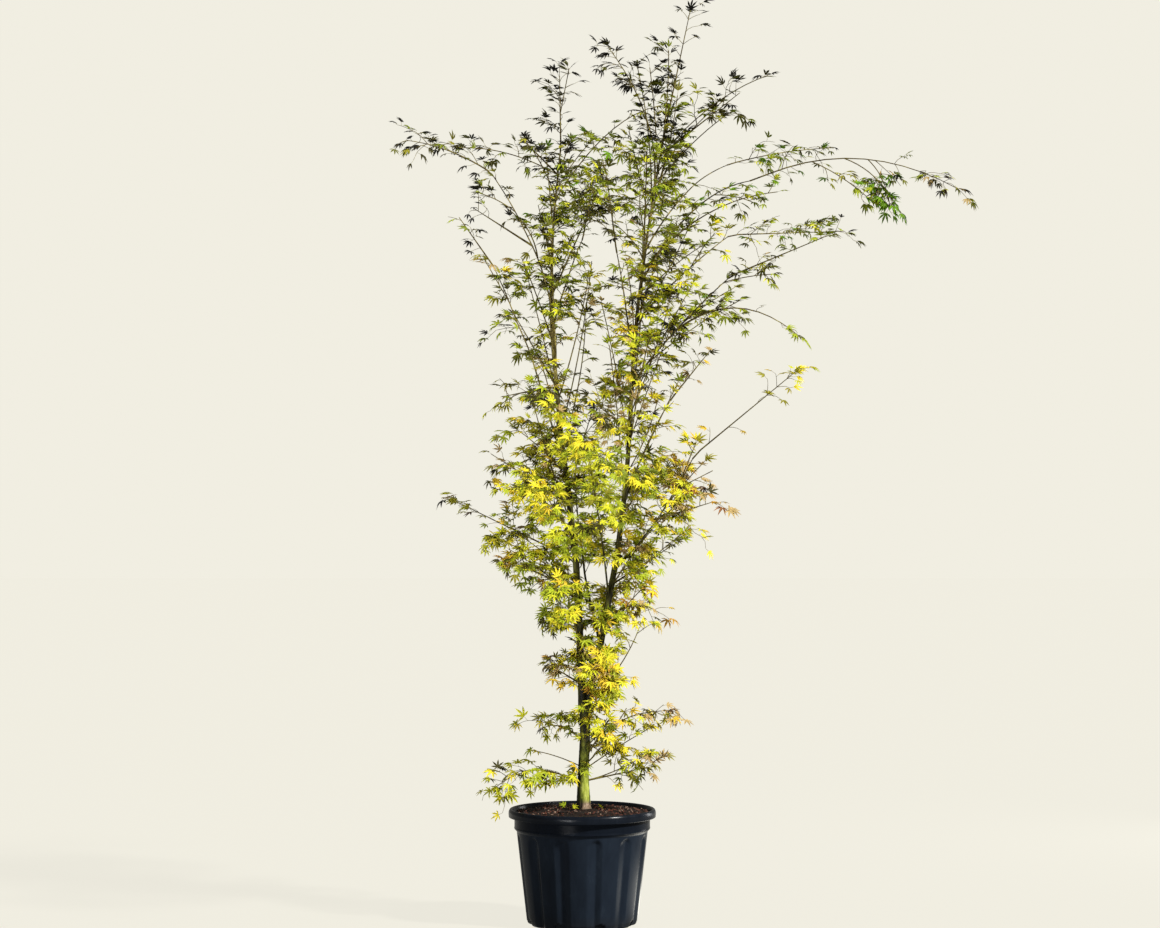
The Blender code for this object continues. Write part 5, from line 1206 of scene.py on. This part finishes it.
# Whether a leaf there would stand between the sun and the foot of the trunk.
def shadesFoot(point):
    offset = point - np.array(sunlit["foot"])
    along = float(offset @ sunward)
    beside = offset - along * sunward
    level, upright = math.hypot(beside[0], beside[1]), abs(beside[2])
    return 0.0 < along < sunlit["reach"] and level < sunlit["level"] and upright < sunlit["upright"]


# One leaf on its stalk: the blade hangs from the stalk's end, and its face is the sum of the upward, outward
# and lit directions with some unevenness, less the part along the blade.
def addLeaf(point, heading, size, look, dice):
    tint, palette, fullness, nodes = look
    if dice.random() > fullness * foliage["fullness"]:
        return
    if dice.random() < foliage["strayTint"]:
        tint = pickTint(dice, palette)
    low, high = foliage["heights"]
    share = min(max((point[2] - low) / (high - low), 0.0), 1.0)
    length = between(foliage["blade"], share) * size
    stalk = unitOf(heading + np.array((0.0, 0.0, dice.uniform(*foliage["stalkRise"]))))
    base = point + stalk * length * dice.uniform(*foliage["petiole"])
    hang = dice.uniform(*between(foliage["hang"], share))
    curl = dice.uniform(*between(foliage["curl"], share))
    blade = unitOf(stalk - np.array((0.0, 0.0, hang)))
    axis, gentle = foliage["axis"]
    outward = np.array((point[0] - axis, point[1], 0.0))
    outward = outward / (np.linalg.norm(outward) + gentle)
    face = np.array((0.0, 0.0, 1.0)) + outward * between(foliage["outward"], share)
    face = face + between(foliage["light"], share)
    face = face + np.array([dice.gauss(0.0, between(foliage["unevenness"], share)) for k in range(3)])
    face = unitOf(face - blade * (face @ blade))
    middle = base + blade * length * 0.5
    if dice.random() > kept(middle) or shadesFoot(middle):
        return
    higher, anyhow = foliage["closing"]
    kind = min(int(higher * share + anyhow * dice.random()), len(leafKinds) - 1)
    leafRows[tint].append((*base, *blade, *np.cross(face, blade), *face, length, curl,
                           dice.uniform(*foliage["fold"]), kind))
    leafNodes[tint].update(nodes)
    petioleRows.append((*point, *base))


# A shoot with opposite pairs of leaves, each pair turned against the last, and leaves at its tip. One that
# keeps no leaf isn't grown.
def addShoot(root, tip, kind, look, dice, tipTurns=shoots["tipTurns"]):
    radii, bare, leafSize = shootKinds[kind]
    aside, upward = shoots["bow"]
    bow = np.array((dice.gauss(0.0, aside), dice.gauss(0.0, aside), upward * np.linalg.norm(tip - root)))
    line = sweptLine(root, tip, bow, straight, shoots["points"][1])
    before = len(petioleRows)
    uneven, against = shoots["pairTurn"]
    count = max(1, round((1.0 - bare) * np.linalg.norm(tip - root) / shoots["leafGap"]))
    for k in range(count):
        place = bare + (1.0 - bare) * (k + shoots["firstLeaf"]) / count
        point, forward = alongLine(line, place)
        turn = dice.uniform(-uneven, uneven) + (0.0 if k % 2 == 0 else dice.choice((-1, 1)) * against)
        out = squareTo(forward, turn)
        for hand in (1, -1):
            size = leafSize * (1.0 - shoots["taper"] * place) * dice.uniform(*shoots["pairSizes"])
            heading = unitOf(forward * dice.uniform(*shoots["forward"]) + out * hand)
            addLeaf(point, heading, size, look, dice)
    point, forward = alongLine(line, 1.0)
    side = sideOf(forward)
    for turn in tipTurns:
        size = leafSize * dice.uniform(*shoots["tipSizes"])
        addLeaf(point, unitOf(forward + side * turn), size, look, dice)
    if len(petioleRows) == before:
        return None
    twigRows.append((line, radii))
    return line


# A twig with leaves, and two smaller shoots from its middle where it is long enough.
def addBranchlet(root, tip, look, dice, tipTurns=shoots["tipTurns"]):
    if kept(tip) < foliage["barest"]:
        return None
    line = addShoot(root, tip, "twig", look, dice, tipTurns)
    length = np.linalg.norm(tip - root)
    if line is not None and length > branchlets["shortest"]:
        for hand in (1, -1):
            middle, forward = alongLine(line, dice.uniform(*branchlets["places"]))
            out = sideOf(forward) * hand + np.array((0.0, 0.0, dice.uniform(*branchlets["rise"])))
            heading = unitOf(forward * branchlets["forward"] + out)
            sideTip = middle + heading * length * dice.uniform(*branchlets["lengths"])
            addShoot(middle, sideTip, "side", look, dice)
    return line


# The line from its foot to the last place that keeps its leaves.
def leafyLine(line):
    lengths = lengthsOf(line)
    tried = np.linspace(*leafyStems["tried"])
    shares = [share for share in tried if kept(alongLine(line, share)[0]) > foliage["barest"]]
    wanted = np.linspace(0.0, lengths[-1] * max(shares, default=1.0), shoots["points"][0])
    return np.stack([np.interp(wanted, lengths, line[:, k]) for k in range(3)], axis=-1)


# Leaves round the end of a line.
def endLeaves(line, palette, nodes, dice):
    point, forward = alongLine(line, 1.0)
    side = sideOf(forward)
    for turn in leafyStems["endTurns"]:
        look = (pickTint(dice, palette), palette, leafyStems["endFullness"], nodes)
        start = point - forward * leafyStems["endStep"] * abs(turn)
        addLeaf(start, unitOf(forward + side * turn), dice.uniform(*shoots["tipSizes"]), look, dice)


# The finer growth: each twig and spray of the rule becomes a leafy branchlet, and the stem has short shoots.
# What has nothing left to grow on, its bough being cut short or its twig left out, isn't grown.
def dressMass(name):
    fullness, below, end = massLook[name]
    twigs, sprays = growMass(name)
    dice = random.Random(name + " fine")
    line = massLines[name]
    total = lengthsOf(line)[-1]
    bough = leafyLine(line)
    thick, thin = leafyStems["radii"]
    twigRows.append((bough, (min(massRadii[name][0], thick), thin)))
    endLeaves(bough, end, (name,), dice)
    last = lengthsOf(bough)[-1] / total
    places = lengthsOf(line) / total

    def lookAt(point):
        palette = end if np.linalg.norm(point - line[-1]) < leafyStems["endZone"] * total else below
        return pickTint(dice, palette), palette, fullness, (name,)

    def onBough(point):
        return places[np.linalg.norm(line - point, axis=1).argmin()] <= last + leafyStems["slack"]

    grown = {}
    for root, tip in twigs:
        if onBough(root):
            grown[tuple(tip)] = addBranchlet(root, tip, lookAt(tip), dice, ())
    for root, heading, length, twigTip in sprays:
        if twigTip is not None:
            twig = grown.get(tuple(twigTip))
            if twig is None:
                continue
            share = np.linalg.norm(root - twig[0]) / np.linalg.norm(twigTip - twig[0])
            root = alongLine(twig, min(share, 1.0))[0]
        elif not onBough(root) or kept(root) < foliage["barest"]:
            continue
        addShoot(root, root + heading * length * leafyStems["sprayLength"], "spray", lookAt(root), dice)
    first, furthest = leafyStems["shortFrom"]
    place = max(masses[name][7], first)
    while place < furthest * last:
        root, forward = alongLine(line, place)
        look = lookAt(root)
        out = squareTo(forward, dice.uniform(0.0, math.pi))
        for hand in (1, -1):
            heading = unitOf(forward * leafyStems["shortForward"] + out * hand)
            addShoot(root, root + heading * dice.uniform(*leafyStems["shortLengths"]), "short", look, dice)
        place += leafyStems["shortGap"] / total


# Sprays that leave a limb in turn all round it.
def dressLimb(name, line, first, last, gap, reach, fullness, palette):
    dice = random.Random(f"{name} sprays {first}")
    total = lengthsOf(line)[-1]
    place = first
    spin = dice.uniform(0.0, 2 * math.pi)
    step, uneven = limbShoots["spiral"]
    while place < last:
        root, forward = alongLine(line, place)
        spin += step + dice.uniform(-uneven, uneven)
        chosen = palette or stemPalette(root, dice)
        heading = unitOf(forward * limbShoots["forward"] + squareTo(forward, spin))
        tip = root + heading * reach * dice.uniform(*limbShoots["reaches"])
        addBranchlet(root, tip, (pickTint(dice, chosen), chosen, fullness, ()), dice)
        place += gap * dice.uniform(*limbShoots["gaps"]) / total


# Colours by height, blurred at random, darker towards the top as painted shade, with lighter ones on the
# sunny side as painted light.
def stemPalette(point, dice):
    height = point[2] + dice.gauss(0.0, sunnySide["blur"])
    low, high = sunnySide["between"]
    if point[0] > sunnySide["from"] and low < height < high:
        return sunnySide["palette"]
    return next(palette for top, palette in heightColours if height < top)


leafCut = {
    "footTurn": 24,                     # degrees from the outermost lobes to the blade's foot on either side
    "footLength": 0.16,
    "notchRise": 0.6,                   # how far the notches rise with the fold, next to a lobe's edge
    "rib": 0.52,                        # where along a lobe its rib bends, and where the lobe is widest
    "widest": 0.56,
}


# A lobed blade in its own plane: each lobe is a pointed strip with a rib, joined at the notches beside it.
def leafShape(angles, lengths, width, notch):
    angles = np.radians(angles)
    flat, rise, quads, triangles, notches = [(0.0, 0.0)], [0.0], [], [], []
    for k in range(len(angles) + 1):
        if k in (0, len(angles)):
            near = min(k, len(angles) - 1)
            angle = angles[near] + math.radians(leafCut["footTurn"]) * (1 if k else -1)
            radius = leafCut["footLength"] * lengths[near]
        else:
            angle = (angles[k - 1] + angles[k]) / 2
            radius = notch * min(lengths[k - 1], lengths[k])
        notches.append(len(flat))
        flat.append((radius * math.cos(angle), radius * math.sin(angle)))
        rise.append(leafCut["notchRise"] * width)
    for k, (angle, length) in enumerate(zip(angles, lengths)):
        rib, low, high, tip = range(len(flat), len(flat) + 4)
        wide = width * (0.5 + 0.5 * length)
        widest = leafCut["widest"]
        for out, aside in ((leafCut["rib"], 0.0), (widest, -wide), (widest, wide), (1.0, 0.0)):
            flat.append((out * length * math.cos(angle) - aside * math.sin(angle),
                         out * length * math.sin(angle) + aside * math.cos(angle)))
            rise.append(abs(aside))
        quads += [(0, notches[k], low, rib), (0, rib, high, notches[k + 1])]
        triangles += [(low, tip, rib), (rib, tip, high)]
    flat = np.array(flat)
    return flat, np.array(rise), (flat ** 2).sum(1), np.array(quads), np.array(triangles)


# from spread to nearly closed: the lobes' angles and lengths, their half width, and where the notches are
leafKinds = (
    leafShape((-118, -78, -39, 0, 39, 78, 118), (0.42, 0.72, 0.93, 1.0, 0.93, 0.72, 0.42), 0.098, 0.32),
    leafShape((-84, -42, 0, 42, 84), (0.64, 0.90, 1.0, 0.90, 0.64), 0.106, 0.30),
    leafShape((-66, -32, 0, 32, 66), (0.66, 0.90, 1.0, 0.90, 0.66), 0.100, 0.30),
    leafShape((-50, -24, 0, 24, 50), (0.64, 0.88, 1.0, 0.88, 0.64), 0.096, 0.34),
    leafShape((-32, 0, 32), (0.82, 1.0, 0.82), 0.110, 0.30),
)


# Leaves of one colour: each blade's flat shape in its own axes, its edges raised by the fold and its tips
# sunk by the curl, which grows with the square of the distance from its foot.
def makeLeaves(tint):
    rows = np.array(leafRows[tint])
    parts = []
    for kind, (flat, rise, sag, quads, triangles) in enumerate(leafKinds):
        own = rows[rows[:, 15] == kind]
        if not len(own):
            continue
        base, blade, across, face = (own[:, k:k + 3] for k in (0, 3, 6, 9))
        length, curl, fold = own[:, 12], own[:, 13], own[:, 14]
        high = fold[:, None] * rise[None] - curl[:, None] * sag[None]
        points = flat[None, :, :1] * blade[:, None] + flat[None, :, 1:] * across[:, None]
        points = base[:, None] + length[:, None, None] * (points + high[..., None] * face[:, None])
        shift = len(flat) * np.arange(len(own))[:, None, None]
        faces = [(quads[None] + shift).reshape(-1, 4), (triangles[None] + shift).reshape(-1, 3)]
        parts.append((points.reshape(-1, 3), faces))
    points, faces = joined(parts)
    colour, roughness, slot = tints[tint]
    title = tint[0].upper() + tint[1:]
    material = noisyMaterial(f"leaf{title}", ((0.0, colour),), (roughness - 0.08, roughness + 0.10), 180.0,
                             bump=0.15, depth=0.0004, detail=2.0, shine=0.15)[0]
    addPiece(f"leaves{title}", points, faces, material, sorted(leafNodes[tint]), smooth=False)
    return len(rows)


# Twigs as tubes that taper evenly along their lines, and leaf stalks as three-sided ones.
def makeTwigs():
    parts = []
    for count, sides in zip(shoots["points"], shoots["sides"]):
        chosen = [(line, ends) for line, ends in twigRows if len(line) == count]
        lines = np.array([line for line, ends in chosen])
        ends = np.array([ends for line, ends in chosen])
        radii = ends[:, :1] + (ends[:, 1:] - ends[:, :1]) * np.linspace(0.0, 1.0, count)
        parts.append(tubes(lines, np.repeat(radii[..., None], sides, axis=2)))
    points, faces = joined(parts)
    ramp = ((0.35, (0.040, 0.026, 0.010)), (0.55, (0.150, 0.115, 0.026)), (0.75, (0.300, 0.270, 0.050)))
    material = noisyMaterial("twigBark", ramp, (0.5, 0.7), 40.0, shine=0.10)[0]
    addPiece("twigs", points, faces, material)
    rows = np.array(petioleRows).reshape(-1, 2, 3)
    points, faces = tubes(rows, np.full((len(rows), 2, 3), foliage["stalkRadius"]))
    ramp = ((0.40, (0.200, 0.130, 0.030)), (0.60, (0.300, 0.300, 0.050)))
    material = noisyMaterial("leafStalk", ramp, (0.5, 0.7), 60.0, shine=0.10)[0]
    addPiece("leafStalks", points, faces, material)
    print(len(twigRows), "twigs,", len(rows), "leaf stalks")


for name in masses:
    dressMass(name)
print("masses grown,", sum(map(len, leafRows.values())), "leaves")
for name, (host, share, tip, thick, bow, first, reach, fullness, palette) in slimShoots.items():
    hostLine = limbLines[host] if host in limbLines else massLines[host]
    line = leafyLine(lineFrom(hostLine, share, tip, bow, 0.02))
    twigRows.append((line, (thick / 2, leafyStems["shootTip"])))
    dressLimb(name, line, first, 1.0, limbShoots["slimGap"], reach, fullness, palette)
    endLeaves(line, palette, (), random.Random(name + " end"))
for name, *row in limbSprays:
    dressLimb(name, limbLines[name], *row)
dice = random.Random("sprouts")
for x, y, bearing, size in sprouts:
    point = np.array((x, y, soil["crown"] + 0.004))
    heading = np.array((math.cos(bearing), math.sin(bearing), 0.7))
    addLeaf(point, heading, size, ("lime", "sprout", 1.0, ()), dice)
print("limbs dressed,", sum(map(len, leafRows.values())), "leaves")
for tint in tints:
    if leafRows[tint]:
        print(tint, makeLeaves(tint))
makeTwigs()

stage = {
    "paper": (0.879, 0.855, 0.759),
    "floorHalf": 40.0,
    "floorTop": -0.0005,
    "floorShade": 0.05,
    "floorGlow": 0.925,
    "floorShine": (0.6, 5.5),           # in the pot's shine: everywhere, and at the patch at its right
    "brightPatch": (0.42, 0.24, 0.16, 0.42),    # x, y, and how far from there it is full and gone
    "surround": 0.26,                   # how much the surround lights the plant, next to how bright it looks
    "sun": {"energy": 5.4, "angle": math.radians(5.0), "color": (1.0, 0.985, 0.94)},
    "strip": {"energy": 16.0, "shape": "RECTANGLE", "size": 0.4, "size_y": 1.2},
    "stripAim": ((2.6, 1.9, 0.75), (0.0, 0.0, 0.2)),      # from here, towards there
    "fill": {"energy": 10.6, "size": 1.5, "spread": math.radians(32.0)},    # the soft light on the crown
    "fillAim": ((-1.8, -4.4, 0.45), (0.0, 0.0, 1.18)),
}


# The sweep glows like the paper behind, to the camera and in the pot's shine, so it throws little light back.
def makeFloor():
    half, top = stage["floorHalf"], stage["floorTop"]
    across = np.linspace(-half, half, 9)
    x, y = np.meshgrid(across, across)
    points = np.stack((x.ravel(), y.ravel(), np.full(x.size, top)), axis=-1)
    mesh = bpy.data.meshes.new("floor")
    mesh.from_pydata(points.tolist(), [], gridFaces(9, 9, wrapped=False).tolist())
    mesh.update()
    floor = bpy.data.objects.new("floor", mesh)
    scene.collection.objects.link(floor)
    paper = stage["paper"]
    colour = tuple(stage["floorShade"] * channel / paper[0] for channel in paper)
    soft = tuple(channel * 0.985 for channel in colour)
    material, shader = noisyMaterial("paperFloor", ((0.3, soft), (0.7, colour)), (0.9, 1.0), 0.6, shine=0.0)
    tree = material.node_tree
    place = nodeOf(material, "TEX_COORD")
    x, y, near, far = stage["brightPatch"]
    low, high = stage["floorShine"]
    away = addNode(tree, "VectorMath", {0: place.outputs["Object"], 1: (x, y, 0.0)}, operation="DISTANCE")
    patch = addNode(tree, "MapRange", {"Value": away.outputs["Value"], "From Min": far, "From Max": near,
                                       "To Min": low, "To Max": high})
    rays = addNode(tree, "LightPath", {})
    shine = addNode(tree, "Math", {0: rays.outputs["Is Glossy Ray"], 1: patch.outputs["Result"],
                                   2: rays.outputs["Is Camera Ray"]}, operation="MULTIPLY_ADD")
    strength = addNode(tree, "Math", {0: shine.outputs["Value"], 1: stage["floorGlow"]}, operation="MULTIPLY")
    glow = addNode(tree, "Emission", {"Color": (*paper, 1.0), "Strength": strength.outputs["Value"]})
    both = addNode(tree, "AddShader", {0: shader.outputs["BSDF"], 1: glow.outputs["Emission"]})
    tree.links.new(both.outputs["Shader"], tree.nodes["Material Output"].inputs["Surface"])
    mesh.materials.append(material)


# The camera sees the surround at full brightness, while the plant is lit by a share of it.
def makeSurround():
    world = bpy.data.worlds.new("studio")
    scene.world = world
    world.use_nodes = True
    tree = world.node_tree
    tree.nodes.clear()
    paper = (*stage["paper"], 1.0)
    shown = addNode(tree, "Background", {"Color": paper, "Strength": 1.0})
    lit = addNode(tree, "Background", {"Color": paper, "Strength": stage["surround"]})
    rays = addNode(tree, "LightPath", {})
    mix = addNode(tree, "MixShader", {"Fac": rays.outputs["Is Camera Ray"], 1: lit.outputs["Background"],
                                      2: shown.outputs["Background"]})
    addNode(tree, "OutputWorld", {"Surface": mix.outputs["Shader"]})


# A light with its settings, turned about x, y and z in turn and set in its place.
def addLight(name, kind, settings, turn, place=(0.0, 0.0, 0.0)):
    light = bpy.data.lights.new(name, kind)
    for setting, value in settings.items():
        setattr(light, setting, value)
    lightObject = bpy.data.objects.new(name, light)
    lightObject.location = place
    lightObject.rotation_euler = turn
    scene.collection.objects.link(lightObject)


# An area light turned from its place towards a point.
def aimLight(name, settings, aim):
    place, target = aim
    x, y, z = np.array(target) - np.array(place)
    turn = (math.atan2(math.hypot(x, y), -z), 0.0, math.atan2(-x, y))
    addLight(name, "AREA", settings, turn, place)


# The camera looks along +y, tilted a little upwards.
def makeCamera():
    camera = bpy.data.cameras.new("camera")
    camera.lens = outlook["lens"]
    camera.sensor_width = 36.0
    camera.clip_end = 200.0
    cameraObject = bpy.data.objects.new("camera", camera)
    cameraObject.location = outlook["camera"]
    cameraObject.rotation_euler = (math.radians(90.0 + outlook["tilt"]), 0.0, 0.0)
    scene.collection.objects.link(cameraObject)
    scene.camera = cameraObject


makeFloor()
makeSurround()
addLight("keyLight", "SUN", stage["sun"], [math.radians(angle) for angle in outlook["sunTurn"]])
aimLight("stripLight", stage["strip"], stage["stripAim"])
aimLight("fillLight", stage["fill"], stage["fillAim"])
makeCamera()
print("stage, lights and camera done")
